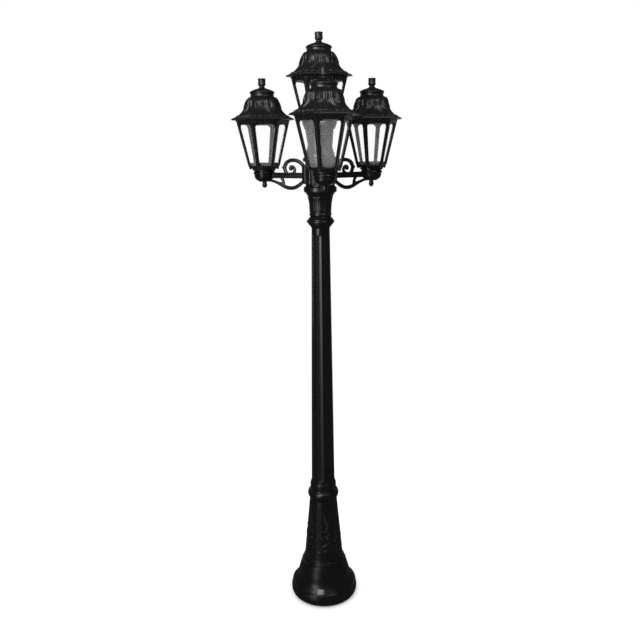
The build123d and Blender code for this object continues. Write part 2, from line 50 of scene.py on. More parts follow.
# ------------------------------------------------------------------ curves
def catmull(pts, step):
    """A smooth line through pts, sampled about every step."""
    P = [np.array(p, float) for p in pts]
    P = [2 * P[0] - P[1]] + P + [2 * P[-1] - P[-2]]
    out = []
    for i in range(1, len(P) - 2):
        p0, p1, p2, p3 = P[i - 1:i + 3]
        t0 = 0.0
        t1 = t0 + max(np.linalg.norm(p1 - p0), 1e-6) ** 0.5
        t2 = t1 + max(np.linalg.norm(p2 - p1), 1e-6) ** 0.5
        t3 = t2 + max(np.linalg.norm(p3 - p2), 1e-6) ** 0.5
        n = max(1, int(math.ceil(np.linalg.norm(p2 - p1) / step)))
        for t in t1 + (t2 - t1) * np.arange(n) / n:
            a1 = (t1 - t) / (t1 - t0) * p0 + (t - t0) / (t1 - t0) * p1
            a2 = (t2 - t) / (t2 - t1) * p1 + (t - t1) / (t2 - t1) * p2
            a3 = (t3 - t) / (t3 - t2) * p2 + (t - t2) / (t3 - t2) * p3
            b1 = (t2 - t) / (t2 - t0) * a1 + (t - t0) / (t2 - t0) * a2
            b2 = (t3 - t) / (t3 - t1) * a2 + (t - t1) / (t3 - t1) * a3
            out.append((t2 - t) / (t2 - t1) * b1 + (t - t1) / (t2 - t1) * b2)
    out.append(P[-2])
    return np.array(out)


def rounded(pts, closed=False, arc=4):
    """A polyline whose corners (x, y, radius) are rounded."""
    out = []
    n = len(pts)
    for i, p in enumerate(pts):
        r = p[2] if len(p) > 2 else 0.0
        b = np.array(p[:2], float)
        if r <= 0 or (not closed and i in (0, n - 1)):
            out.append(b)
            continue
        a = np.array(pts[i - 1][:2], float)
        c = np.array(pts[(i + 1) % n][:2], float)
        la, lc = np.linalg.norm(a - b), np.linalg.norm(c - b)
        u, v = (a - b) / la, (c - b) / lc
        ang = math.acos(max(-1.0, min(1.0, float(u @ v))))
        if ang > PI - 0.02:
            out.append(b)
            continue
        d = min(r / math.tan(ang / 2), 0.48 * la, 0.48 * lc)
        r = d * math.tan(ang / 2)
        w = (u + v) / np.linalg.norm(u + v)
        o = b + w * (r / math.sin(ang / 2))
        s, e = b + u * d - o, b + v * d - o
        a0 = math.atan2(s[1], s[0])
        da = (math.atan2(e[1], e[0]) - a0 + PI) % (2 * PI) - PI
        for k in range(arc + 1):
            t = a0 + da * k / arc
            out.append(o + r * np.array([math.cos(t), math.sin(t)]))
    return np.array(out)


def refine(P, step):
    """Adds points on runs longer than step (a number, or a function of height)."""
    P = np.array(P, float)
    out = [P[0]]
    for a, b in zip(P[:-1], P[1:]):
        s = step((a[1] + b[1]) / 2) if callable(step) else step
        n = max(1, int(math.ceil(np.linalg.norm(b - a) / s - 1e-6)))
        for k in range(1, n + 1):
            out.append(a + (b - a) * k / n)
    return np.array(out)


def chain(*runs):
    """Joins runs of points and drops repeated ones."""
    out = []
    for r in runs:
        for p in np.array(r, float)[:, :2]:
            if not out or np.linalg.norm(out[-1] - p) > 1e-4:
                out.append(p)
    return np.array(out)


def smooth(x, a, b):
    t = np.clip((x - a) / (b - a), 0.0, 1.0)
    return t * t * (3 - 2 * t)


# ------------------------------------------------------------------ closed shells as (vertices, faces)
def outward(V, F):
    """Turns a closed shell's faces outward."""
    vol = 0.0
    for f in F:
        a = V[f[0]]
        for i in range(1, len(f) - 1):
            vol += float(np.dot(a, np.cross(V[f[i]], V[f[i + 1]])))
    return (V, [tuple(reversed(f)) for f in F]) if vol < 0 else (V, F)


def grid_faces(rows, cols, wrap_rows, wrap_cols):
    F = []
    for i in range(rows if wrap_rows else rows - 1):
        i2 = (i + 1) % rows
        for j in range(cols if wrap_cols else cols - 1):
            j2 = (j + 1) % cols
            F.append((i * cols + j, i * cols + j2, i2 * cols + j2, i2 * cols + j))
    return F


def lathe(prof, n, fn=None, at=(0, 0, 0), turn=0.0):
    """Turns a profile of (radius, height): from axis to axis, or a closed ring."""
    P = np.array(prof, float)
    poles = P[0, 0] < 1e-6 and P[-1, 0] < 1e-6
    rows = P[1:-1] if poles else P
    phi = turn + 2 * PI * np.arange(n) / n
    R = np.repeat(rows[:, :1], n, 1)
    Z = np.repeat(rows[:, 1:2], n, 1)
    PHI = np.repeat(phi[None, :], len(rows), 0)
    I = np.repeat(np.arange(len(rows))[:, None], n, 1)
    if fn is not None:
        R, Z = fn(R, Z, PHI, I)
    V = np.stack([R * np.cos(PHI), R * np.sin(PHI), Z], -1).reshape(-1, 3)
    F = grid_faces(len(rows), n, not poles, True)
    if poles:
        a, b = len(V), len(V) + 1
        V = np.vstack([V, [[0, 0, P[0, 1]], [0, 0, P[-1, 1]]]])
        last = (len(rows) - 1) * n
        for j in range(n):
            j2 = (j + 1) % n
            F.append((a, j2, j))
            F.append((b, last + j, last + j2))
    V = V + np.array(at, float)
    if not poles:
        vol = 0.0
        for (r1, z1), (r2, z2) in zip(P, np.roll(P, -1, 0)):
            vol += r1 * z2 - r2 * z1
        # a ring that runs anticlockwise in (r, z) has its faces inward
        A, B, C = V[F[0][0]], V[F[0][1]], V[F[0][2]]
        nrm = np.cross(B - A, C - A)
        d = P[1] - P[0]
        side = np.array([d[1], -d[0]]) * (1 if vol > 0 else -1)
        p0 = phi[0]
        want = np.array([side[0] * math.cos(p0), side[0] * math.sin(p0), side[1]])
        if np.dot(nrm, want) < 0:
            F = [tuple(reversed(f)) for f in F]
        return V, F
    return outward(V, F)


def tube(P, N, half_w, half_h, sides=10, sink=0.5, power=2.0):
    """A closed rounded rib along points P with surface normals N, tapering to its ends."""
    P, N = np.array(P, float), np.array(N, float)
    n = len(P)
    T = np.gradient(P, axis=0)
    T /= np.linalg.norm(T, axis=1)[:, None]
    B = np.cross(T, N)
    B /= np.linalg.norm(B, axis=1)[:, None]
    M = np.cross(B, T)
    w = np.broadcast_to(np.array(half_w, float), (n,))
    h = np.broadcast_to(np.array(half_h, float), (n,))
    V = []
    for k in range(sides):
        t = 2 * PI * k / sides
        c, s = math.cos(t), math.sin(t)
        c = math.copysign(abs(c) ** (2 / power), c)
        s = math.copysign(abs(s) ** (2 / power), s)
        if s < 0:
            s *= sink
        V.append(P + B * (w * c)[:, None] + M * (h * s)[:, None])
    V = np.stack(V, 1).reshape(-1, 3)
    F = grid_faces(n, sides, False, True)
    a, b = len(V), len(V) + 1
    V = np.vstack([V, P[0] - T[0] * min(w[0], h[0]) * 0.6, P[-1] + T[-1] * min(w[-1], h[-1]) * 0.6])
    last = (n - 1) * sides
    for j in range(sides):
        j2 = (j + 1) % sides
        F.append((a, j2, j))
        F.append((b, last + j, last + j2))
    return outward(V, F)


def blob(c, N, T, rx, ry, h, sides=12, rows=5, sink=0.6):
    """A low oval dome on a surface, sunk a little into it."""
    c, N, T = (np.array(v, float) for v in (c, N, T))
    N = N / np.linalg.norm(N)
    T = T - N * (T @ N)
    T /= np.linalg.norm(T)
    B = np.cross(N, T)
    V = []
    for i in range(1, 2 * rows):
        a = PI * i / (2 * rows) - PI / 2
        z = math.sin(a) * h * (sink if a < 0 else 1.0)
        for k in range(sides):
            t = 2 * PI * k / sides
            V.append(c + T * rx * math.cos(t) * math.cos(a) + B * ry * math.sin(t) * math.cos(a) + N * z)
    n = 2 * rows - 1
    F = grid_faces(n, sides, False, True)
    V = np.array(V)
    a, b = len(V), len(V) + 1
    V = np.vstack([V, c - N * h * sink, c + N * h])
    for j in range(sides):
        j2 = (j + 1) % sides
        F.append((a, j2, j))
        F.append((b, (n - 1) * sides + j, (n - 1) * sides + j2))
    return outward(V, F)


def slab(outline, half, bevel):
    """A flat plate in the u-z plane, thickness 2*half along v, with bevelled edges."""
    O = np.array(outline, float)
    nx = np.roll(O, -1, 0) - O
    nx /= np.linalg.norm(nx, axis=1)[:, None]
    e = np.stack([nx[:, 1], -nx[:, 0]], 1)
    m = e + np.roll(e, 1, 0)
    m /= np.maximum(np.linalg.norm(m, axis=1)[:, None], 1e-6)
    area = 0.5 * float(np.sum(O[:, 0] * np.roll(O[:, 1], -1) - np.roll(O[:, 0], -1) * O[:, 1]))
    if area < 0:
        m = -m
    n = len(O)
    levels = [(-half, bevel), (-half + bevel * 0.3, bevel * 0.3), (-half + bevel, 0.0),
              (half - bevel, 0.0), (half - bevel * 0.3, bevel * 0.3), (half, bevel)]
    V = []
    for v, inset in levels:
        Q = O - m * inset
        V.append(np.stack([Q[:, 0], np.full(n, v), Q[:, 1]], 1))
    V = np.vstack(V)
    F = grid_faces(len(levels), n, False, True)
    F.append(tuple(reversed(range(n))))
    F.append(tuple((len(levels) - 1) * n + k for k in range(n)))
    return outward(V, F)


def band(path, half_w, half_d, sides=16, power=3.2):
    """A scroll: a bar of rounded section along a line in the u-z plane."""
    P = np.array(path, float)
    P3 = np.stack([P[:, 0], np.zeros(len(P)), P[:, 1]], 1)
    N = np.tile(np.array([0.0, 1.0, 0.0]), (len(P), 1))
    return tube(P3, N, half_w, half_d, sides=sides, sink=1.0, power=power)


def join(parts):
    V, F, o = [], [], 0
    for v, f in parts:
        V.append(v)
        F.extend(tuple(i + o for i in q) for q in f)
        o += len(v)
    return np.vstack(V), F


def weld(V, F, tol=0.002):
    """Merges vertices at the same place."""
    K = np.round(V / tol).astype(np.int64)
    _, first, inv = np.unique(K, axis=0, return_index=True, return_inverse=True)
    inv = inv.reshape(-1)
    G = []
    for f in F:
        g = []
        for i in f:
            j = int(inv[i])
            if not g or g[-1] != j:
                g.append(j)
        if len(g) > 1 and g[0] == g[-1]:
            g.pop()
        if len(g) > 2:
            G.append(tuple(g))
    return V[first], G


def spin(V, deg, at=(0, 0, 0)):
    c, s = math.cos(deg * RAD), math.sin(deg * RAD)
    W = V.copy()
    W[:, 0] = V[:, 0] * c - V[:, 1] * s
    W[:, 1] = V[:, 0] * s + V[:, 1] * c
    return W + np.array(at, float)


def piece(name, mesh, material, body, nodes=(), sharp=38.0):
    """A finished object from (vertices in mm, faces)."""
    V, F = mesh
    me = bpy.data.meshes.new(name)
    me.from_pydata((V * 0.001).tolist(), [], F)
    me.validate()
    me.shade_smooth()
    me.set_sharp_from_angle(angle=math.radians(sharp))
    me.materials.append(material)
    ob = bpy.data.objects.new(name, me)
    bpy.context.scene.collection.objects.link(ob)
    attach(ob, body)
    if nodes:
        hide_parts(*nodes)
    return ob


def cut(mesh, cutters):
    """mesh without the closed cutters."""
    def temp(m, nm):
        me = bpy.data.meshes.new(nm)
        me.from_pydata((m[0] * 0.001).tolist(), [], m[1])
        ob = bpy.data.objects.new(nm, me)
        bpy.context.scene.collection.objects.link(ob)
        return ob
    a, b = temp(mesh, "tmp_a"), temp(join(cutters), "tmp_b")
    md = a.modifiers.new("cut", "BOOLEAN")
    md.operation, md.solver, md.object = "DIFFERENCE", "EXACT", b
    dg = bpy.context.evaluated_depsgraph_get()
    me = bpy.data.meshes.new_from_object(a.evaluated_get(dg))
    V = np.array([v.co[:] for v in me.vertices]) * 1000.0
    F = [tuple(p.vertices) for p in me.polygons]
    for ob in (a, b):
        d = ob.data
        bpy.data.objects.remove(ob)
        bpy.data.meshes.remove(d)
    bpy.data.meshes.remove(me)
    return V, F


# ------------------------------------------------------------------ materials
def new_material(name):
    m = bpy.data.materials.new(name)
    m.use_nodes = True
    nt = m.node_tree
    nt.nodes.clear()
    out = nt.nodes.new("ShaderNodeOutputMaterial")
    p = nt.nodes.new("ShaderNodeBsdfPrincipled")
    nt.links.new(p.outputs["BSDF"], out.inputs["Surface"])
    tc = nt.nodes.new("ShaderNodeTexCoord")
    return m, nt, p, tc.outputs["Object"]


def mapped(nt, vec, scale):
    mp = nt.nodes.new("ShaderNodeMapping")
    mp.inputs["Scale"].default_value = scale
    nt.links.new(vec, mp.inputs["Vector"])
    return mp.outputs["Vector"]


def noise(nt, vec, scale, detail=3.0, rough=0.55, lacun=2.0):
    n = nt.nodes.new("ShaderNodeTexNoise")
    n.inputs["Scale"].default_value = scale
    n.inputs["Detail"].default_value = detail
    n.inputs["Roughness"].default_value = rough
    nt.links.new(vec, n.inputs["Vector"])
    return n.outputs["Fac"]


def ramp(nt, fac, stops):
    r = nt.nodes.new("ShaderNodeValToRGB")
    el = r.color_ramp.elements
    el[0].position, el[0].color = stops[0][0], (*stops[0][1], 1)
    el[1].position, el[1].color = stops[-1][0], (*stops[-1][1], 1)
    for pos, col in stops[1:-1]:
        e = el.new(pos)
        e.color = (*col, 1)
    nt.links.new(fac, r.inputs["Fac"])
    return r.outputs["Color"]


def spread(nt, fac, lo, hi, a=0.3, b=0.7):
    r = nt.nodes.new("ShaderNodeMapRange")
    r.inputs["From Min"].default_value, r.inputs["From Max"].default_value = a, b
    r.inputs["To Min"].default_value, r.inputs["To Max"].default_value = lo, hi
    nt.links.new(fac, r.inputs["Value"])
    return r.outputs["Result"]


def mix(nt, fac, a, b):
    x = nt.nodes.new("ShaderNodeMix")
    x.data_type = "RGBA"
    nt.links.new(fac, x.inputs["Factor"])
    for sock, v in ((x.inputs["A"], a), (x.inputs["B"], b)):
        if isinstance(v, tuple):
            sock.default_value = (*v, 1)
        else:
            nt.links.new(v, sock)
    return x.outputs["Result"]


def bump(nt, p, height, strength, distance):
    b = nt.nodes.new("ShaderNodeBump")
    b.inputs["Strength"].default_value = strength
    b.inputs["Distance"].default_value = distance
    nt.links.new(height, b.inputs["Height"])
    nt.links.new(b.outputs["Normal"], p.inputs["Normal"])


def resin_material(name, dark, light, edge, rough_lo, rough_hi, grain=1.0):
    """Black moulded resin: slight tone drift, a fine orange-peel skin, and rubbed, paler edges."""
    m, nt, p, vec = new_material(name)
    drift = noise(nt, vec, 22.0, 4.0)
    tone = ramp(nt, drift, [(0.32, dark), (0.68, light)])
    geo = nt.nodes.new("ShaderNodeNewGeometry")
    worn = spread(nt, geo.outputs["Pointiness"], 0.0, 1.0, 0.52, 0.60)
    patch = spread(nt, noise(nt, vec, 90.0, 3.0), 0.15, 1.0, 0.35, 0.62)
    mul = nt.nodes.new("ShaderNodeMath")
    mul.operation = "MULTIPLY"
    nt.links.new(worn, mul.inputs[0])
    nt.links.new(patch, mul.inputs[1])
    col = mix(nt, mul.outputs[0], tone, edge)
    nt.links.new(col, p.inputs["Base Color"])
    nt.links.new(spread(nt, noise(nt, vec, 45.0, 4.0, 0.6), rough_lo, rough_hi), p.inputs["Roughness"])
    p.inputs["IOR"].default_value = 1.5
    skin = noise(nt, vec, 900.0 * grain, 2.0)
    bump(nt, p, skin, 0.03, 0.00003)
    return m


RESIN = resin_material("black_resin", (0.0020, 0.0020, 0.0021), (0.0034, 0.0034, 0.0036), (0.0095, 0.0095, 0.0098), 0.23, 0.31)
# lighter copy of the same black resin for roofs, vent tops and finials: painted light, the paler tone stands in for the
# light the up-facing roof parts catch
RESIN_ROOF_PAINTED_LIT = resin_material("black_resin_roof_painted_lit", (0.0050, 0.0050, 0.0052), (0.0085, 0.0085, 0.0088), (0.020, 0.020, 0.0205), 0.26, 0.34)

PANE, nt, p, vec = new_material("clear_acrylic")
p.inputs["Base Color"].default_value = (0.90, 0.91, 0.91, 1)
nt.links.new(spread(nt, noise(nt, vec, 30.0, 3.0), 0.10, 0.15), p.inputs["Roughness"])
p.inputs["Alpha"].default_value = 0.036
p.inputs["Specular IOR Level"].default_value = 0.2
p.inputs["IOR"].default_value = 1.49
bump(nt, p, noise(nt, vec, 14.0, 2.0), 0.02, 0.0003)
nt.links.new(ramp(nt, noise(nt, vec, 60.0, 5.0, 0.7), [(0.35, (0.86, 0.87, 0.87)), (0.65, (0.94, 0.94, 0.94))]), p.inputs["Base Color"])

STEEL, nt, p, vec = new_material("galvanised_steel")
v = nt.nodes.new("ShaderNodeTexVoronoi")
v.inputs["Scale"].default_value = 140.0
nt.links.new(vec, v.inputs["Vector"])
sep = nt.nodes.new("ShaderNodeSeparateColor")
nt.links.new(v.outputs["Color"], sep.inputs["Color"])
nt.links.new(ramp(nt, sep.outputs[0], [(0.0, (0.42, 0.43, 0.44)), (1.0, (0.62, 0.63, 0.64))]), p.inputs["Base Color"])
p.inputs["Metallic"].default_value = 1.0
nt.links.new(spread(nt, sep.outputs[1], 0.34, 0.55, 0.0, 1.0), p.inputs["Roughness"])
bump(nt, p, noise(nt, vec, 260.0, 3.0), 0.15, 0.0003)

SCREW, nt, p, vec = new_material("stainless_screw")
nt.links.new(ramp(nt, noise(nt, vec, 300.0, 4.0), [(0.3, (0.50, 0.50, 0.49)), (0.7, (0.68, 0.68, 0.67))]), p.inputs["Base Color"])
p.inputs["Metallic"].default_value = 1.0
nt.links.new(spread(nt, noise(nt, mapped(nt, vec, (1, 1, 12)), 500.0, 3.0), 0.22, 0.40), p.inputs["Roughness"])
bump(nt, p, noise(nt, mapped(nt, vec, (1, 1, 14)), 900.0, 2.0), 0.12, 0.0001)

PLATE, nt, p, vec = new_material("satin_bright_plate")
nt.links.new(ramp(nt, noise(nt, vec, 120.0, 4.0), [(0.3, (0.12, 0.12, 0.118)), (0.7, (0.17, 0.17, 0.168))]), p.inputs["Base Color"])
p.inputs["Metallic"].default_value = 0.15
nt.links.new(spread(nt, noise(nt, mapped(nt, vec, (30, 30, 1)), 120.0, 3.0), 0.28, 0.45), p.inputs["Roughness"])
bump(nt, p, noise(nt, mapped(nt, vec, (30, 30, 1)), 160.0, 3.0), 0.10, 0.00008)

HOLDER, nt, p, vec = new_material("black_phenolic")
nt.links.new(ramp(nt, noise(nt, vec, 260.0, 5.0, 0.7), [(0.35, (0.012, 0.011, 0.011)), (0.7, (0.030, 0.028, 0.027))]), p.inputs["Base Color"])
nt.links.new(spread(nt, noise(nt, vec, 120.0, 4.0), 0.28, 0.45), p.inputs["Roughness"])
bump(nt, p, noise(nt, vec, 1400.0, 2.0), 0.10, 0.0001)

BRASS, nt, p, vec = new_material("brass_shell")
nt.links.new(ramp(nt, noise(nt, vec, 180.0, 5.0), [(0.3, (0.62, 0.44, 0.19)), (0.7, (0.80, 0.62, 0.31))]), p.inputs["Base Color"])
p.inputs["Metallic"].default_value = 1.0
nt.links.new(spread(nt, noise(nt, vec, 240.0, 4.0), 0.22, 0.42), p.inputs["Roughness"])
bump(nt, p, noise(nt, vec, 1200.0, 2.0), 0.08, 0.0001)

RUBBER, nt, p, vec = new_material("foam_rubber")
nt.links.new(ramp(nt, noise(nt, vec, 700.0, 5.0, 0.7), [(0.3, (0.010, 0.010, 0.010)), (0.7, (0.026, 0.026, 0.026))]), p.inputs["Base Color"])
nt.links.new(spread(nt, noise(nt, vec, 300.0, 4.0), 0.72, 0.90), p.inputs["Roughness"])
bump(nt, p, noise(nt, vec, 2200.0, 3.0), 0.5, 0.0003)

CREAM, nt, p, vec = new_material("cream_polyamide")
nt.links.new(ramp(nt, noise(nt, vec, 160.0, 4.0), [(0.3, (0.72, 0.68, 0.57)), (0.7, (0.82, 0.79, 0.69))]), p.inputs["Base Color"])
nt.links.new(spread(nt, noise(nt, vec, 200.0, 3.0), 0.36, 0.52), p.inputs["Roughness"])
bump(nt, p, noise(nt, vec, 1100.0, 2.0), 0.15, 0.0002)

LEAD, nt, p, vec = new_material("lead_sheath")
nt.links.new(ramp(nt, noise(nt, vec, 220.0, 4.0), [(0.3, (0.012, 0.012, 0.012)), (0.7, (0.028, 0.028, 0.029))]), p.inputs["Base Color"])
nt.links.new(spread(nt, noise(nt, vec, 260.0, 3.0), 0.50, 0.68), p.inputs["Roughness"])
bump(nt, p, noise(nt, vec, 1500.0, 2.0), 0.3, 0.0002)

NODE_MATERIALS = {"ground_plate": STEEL, "core_tube": STEEL, "terminal_block": CREAM, "arm_bolts": STEEL,
                  "lamp_leads": LEAD, "top_locknut": STEEL}
for place in PLACE:
    NODE_MATERIALS[f"panes_{place}"] = PANE
    NODE_MATERIALS[f"gasket_{place}"] = RUBBER
    NODE_MATERIALS[f"stem_{place}"] = STEEL
for node, mat in NODE_MATERIALS.items():
    for s in NODES[node].material_slots:
        s.material = mat

# ------------------------------------------------------------------ foot of the post
cone_r = lambda z: 70.9 + (50.4 - 70.9) * (z - 166.0) / (388.0 - 166.0)
foot_out = chain(
    catmull([(102, 0.0), (109, 1.0), (115.4, 4.0), (120.4, 8.8), (123.2, 14.8), (124.1, 21.5), (124.0, 28.5), (122.9, 35.5), (121.0, 42.0), (119.6, 45.4)], 1.8),
    rounded([(119.6, 45.4), (120.2, 46.8, 0.8), (120.3, 49.2, 1.2), (118.2, 51.4, 1.2), (116.2, 51.2, 0.6), (114.8, 52.2)], arc=4),
    catmull([(114.8, 52.2), (112.4, 55.4), (108.4, 60.6), (103.8, 66.6), (100.6, 71.8), (98.0, 77.5), (96.1, 86), (94.4, 96), (92.3, 104), (90.0, 112), (87.4, 121), (84.8, 130.5), (83.2, 136.3)], 2.2),
    rounded([(83.2, 136.3), (82.2, 138.3, 0.6), (78.9, 139.2, 0.5), (78.0, 142.2, 0.6), (79.0, 143.8, 0.8), (79.0, 146.0, 0.8), (76.2, 147.4, 0.5),
             (74.6, 150.2, 0.6), (75.5, 151.8, 0.7), (75.4, 153.4, 0.7), (73.1, 155.0, 0.5), (72.0, 158.6, 1.2), (cone_r(167), 167, 3), (cone_r(186), 186)], arc=3),
    refine([(cone_r(186), 186), (cone_r(378), 378)], 1.9),
    rounded([(cone_r(378), 378), (50.4, 388, 1), (50.4, 394)], arc=2))
foot_in = np.array([(38, 394), (38, 386), (46, 383), (66.8, 166), (70.4, 150), (78.4, 136), (86, 112), (91.6, 90), (94.4, 76), (101.6, 63), (110.8, 51), (117.4, 40),
                    (119.8, 28), (119, 19), (112, 11), (104, 6.5), (98, 6.5), (98, 0)], float)
N_OUT = len(foot_out)


def foot_fn(R, Z, PHI, I):
    k = np.round((PHI / RAD + 90.0) / 60.0)
    a = PHI - (k * 60.0 - 90.0) * RAD
    s = a * R
    half = R * 30.0 * RAD - 4.0
    d = np.minimum(np.minimum(half - np.abs(s), Z - 195.0), 369.0 - Z)
    h = -0.9 * smooth(d, 0.0, 7.0)
    for z0, part in ((192.5, 0.86), (371.5, 0.80), (163.0, 0.55)):
        h = h + 1.15 * np.exp(-((Z - z0) / 1.5) ** 2) * smooth(-np.abs(s), -half * part, -half * part * 0.86)
    h = np.where((I < N_OUT) & (Z > 158.0), h, 0.0)
    return R + h, Z


parts = [lathe(chain(foot_out, foot_in), 360, foot_fn)]


def cone_surface(phi0, sink):
    def surf(s, z):
        r = cone_r(z) - sink
        a = phi0 * RAD + s / r
        P = np.array([r * math.cos(a), r * math.sin(a), z])
        N = np.array([math.cos(a), math.sin(a), 0.0937])
        return P, N / np.linalg.norm(N)
    return surf


def on(surf, pts, step, w, h, power=2.0, sides=8):
    """A rib that follows pts on a surface; w and h are (start, middle, end)."""
    Q = catmull(pts, step)
    PN = [surf(*q) for q in Q]
    t = np.linspace(0, 1, len(Q))
    ww = np.interp(t, [0, 0.5, 1], w)
    hh = np.interp(t, [0, 0.5, 1], h)
    return tube([a for a, _ in PN], [b for _, b in PN], ww, hh, sides=sides, power=power)


def bead(surf, s, z, rx, ry, h, ang=0.0):
    P, N = surf(s, z)
    Q, _ = surf(s + math.cos(ang) * 0.5, z + math.sin(ang) * 0.5)
    return blob(P, N, Q - P, rx, ry, h)


def rib(surf, pts, step, w, h):
    return on(surf, pts, step, [1.4 * v for v in w], [1.55 * v for v in h])


def dot(surf, s, z, rx, ry, h, ang=0.0):
    return bead(surf, s, z, 1.15 * rx, 1.15 * ry, 1.4 * h, ang)


def candelabra(surf):
    """Traditional stem-and-scroll ornament of a foot panel: urn, three pairs of scrolls, rosettes, a bud."""
    out = [rib(surf, [(0, 206), (0, 240), (0, 275), (0, 312)], 6, (1.5, 1.2, 0.9), (1.7, 1.6, 1.4)),
           rib(surf, [(-6.2, 201.6), (0, 200.8), (6.2, 201.6)], 2, (1.0, 1.5, 1.0), (1.5, 2.0, 1.5)),
           rib(surf, [(0, 202), (0, 209)], 2, (2.6, 1.6, 2.8), (1.8, 1.8, 1.8)),
           rib(surf, [(-9.0, 223.6), (-4, 224.4), (4, 224.4), (9.0, 223.6)], 2, (0.9, 1.4, 0.9), (1.6, 2.2, 1.6)),
           dot(surf, 0, 216.2, 8.2, 6.6, 2.5), dot(surf, 0, 219.5, 8.8, 4.0, 2.6)]
    for q in (-1, 1):
        out += [
            rib(surf, [(q * 1, 226), (q * 7, 229), (q * 14, 234.5), (q * 18.3, 242), (q * 17.2, 250), (q * 11.6, 253.2),
                      (q * 7.8, 249.4), (q * 9.4, 244.8), (q * 12.8, 245.6)], 1.6, (1.0, 1.5, 0.9), (1.3, 2.1, 1.5)),
            rib(surf, [(q * 0.8, 258), (q * 6.4, 260.5), (q * 12.2, 266), (q * 14.6, 273), (q * 12.4, 279.2), (q * 7.8, 279.6),
                      (q * 5.8, 275.8), (q * 8.0, 272.8)], 1.6, (0.9, 1.35, 0.8), (1.2, 2.0, 1.4)),
            rib(surf, [(q * 0.8, 286), (q * 5.2, 288.4), (q * 9.6, 293.4), (q * 10.8, 299.2), (q * 8.2, 303.4), (q * 4.9, 302.0),
                      (q * 5.0, 298.8)], 1.6, (0.8, 1.2, 0.7), (1.1, 1.9, 1.3)),
            # leaves that spring from the scrolls
            rib(surf, [(q * 15.5, 236), (q * 20.5, 235.2), (q * 25, 231)], 1.6, (0.7, 1.9, 0.4), (0.9, 1.7, 0.5)),
            rib(surf, [(q * 18.4, 243), (q * 22.6, 245.6), (q * 25.2, 250.6)], 1.6, (0.7, 1.7, 0.4), (0.9, 1.7, 0.5)),
            rib(surf, [(q * 13.8, 270), (q * 18, 268.4), (q * 21.4, 264.4)], 1.6, (0.6, 1.6, 0.4), (0.9, 1.6, 0.5)),
            rib(surf, [(q * 14.2, 276), (q * 17.8, 279.4), (q * 19.2, 284.4)], 1.6, (0.6, 1.5, 0.4), (0.9, 1.6, 0.5)),
            rib(surf, [(q * 10.6, 297), (q * 14.2, 296), (q * 17.0, 292.6)], 1.6, (0.6, 1.3, 0.4), (0.9, 1.5, 0.5)),
            rib(surf, [(q * 9.2, 303.4), (q * 12.4, 307.4), (q * 12.8, 312.4)], 1.6, (0.6, 1.3, 0.4), (0.9, 1.5, 0.5)),
            rib(surf, [(q * 1.4, 309), (q * 4.6, 313), (q * 5.6, 319)], 1.6, (0.7, 1.5, 0.4), (1.0, 1.7, 0.6)),
            rib(surf, [(q * 1.2, 318), (q * 4.0, 323.5), (q * 4.2, 330)], 1.6, (0.7, 1.4, 0.4), (1.0, 1.6, 0.6)),
            rib(surf, [(q * 2.0, 206), (q * 9.0, 208), (q * 15, 213.6)], 1.8, (0.8, 1.9, 0.4), (1.0, 1.8, 0.5)),
            rib(surf, [(q * 15.4, 214), (q * 19.6, 211.0), (q * 22.4, 205.6)], 1.8, (0.6, 1.5, 0.4), (0.9, 1.5, 0.5)),
            dot(surf, q * 10.6, 248.6, 2.3, 2.3, 2.0), dot(surf, q * 8.8, 276.6, 1.9, 1.9, 1.8), dot(surf, q * 6.8, 300.6, 1.6, 1.6, 1.7)]
    for z0, r0 in ((254.6, 2.0), (282.6, 1.7)):
        out.append(dot(surf, 0, z0, r0, r0, 2.7))
        for k in range(6):
            a = k * 60 * RAD + PI / 2
            out.append(dot(surf, 1.75 * r0 * math.cos(a), z0 + 1.75 * r0 * math.sin(a), r0 * 0.95, r0 * 0.6, 2.0, ang=a))
    out.append(rib(surf, [(0, 311), (0, 320), (0, 334), (0, 345)], 1.8, (1.2, 2.7, 0.3), (1.4, 2.5, 0.7)))
    return out


for k in range(6):
    parts += candelabra(cone_surface(-90 + 60 * k, 0.9))
piece("foot_shell", join(parts), RESIN, "post", ["base"])

# small bright plate low on the front of the foot
ca = -100.8 * RAD
cn = np.array([math.cos(ca) * 0.80, math.sin(ca) * 0.80, 0.60])
ct = np.array([-math.sin(ca), math.cos(ca), 0.0])
cu = np.cross(cn, ct)
co = np.array([110.0 * math.cos(ca), 110.0 * math.sin(ca), 59.5])
outline = rounded([(-11.2, -9.0, 2), (11.2, -9.0, 2), (11.2, 9.0, 2), (-11.2, 9.0, 2)], closed=True, arc=5)
V, F = slab(outline, 2.4, 0.7)
V = co + V[:, :1] * ct + (V[:, 1:2] - 0.55) * cn + V[:, 2:3] * cu
parts = [outward(V, F)]
for sx in (-8.2, 8.2):
    parts.append(blob(co + ct * sx + cn * 1.7, cn, ct, 1.5, 1.5, 0.8, sides=20))
piece("cover_plate_front", join(parts), PLATE, "post", ["cover_plate"])

# ring collar between foot and shaft
ring = chain(
    rounded([(40, 394), (49.4, 394, 0.6), (50.2, 396.0, 0.8), (52.2, 398.4, 0.8)], arc=3),
    catmull([(52.2, 398.4), (54.6, 402.4), (56.2, 407.2), (56.7, 412), (56.4, 416.4), (55.0, 421), (52.4, 424.8)], 1.4),
    rounded([(52.2, 424.8), (50.4, 426.0, 0.5), (49.4, 427.6, 0.8), (46.4, 429.8, 0.8), (45.7, 432.4, 0.8), (46.4, 434.0)], arc=3),
    catmull([(46.4, 434.0), (47.2, 436.4), (47.5, 440.6), (47.6, 446.0), (47.3, 451.4), (46.6, 455.4)], 1.3),
    rounded([(46.6, 455.4), (45.6, 457.0, 0.5), (45.2, 459.4, 0.6), (43.8, 460.6, 0.5), (43.4, 461.5), (40, 461.5)], arc=3))
piece("foot_collar", lathe(ring, 192), RESIN, "post", ["base_collar"])

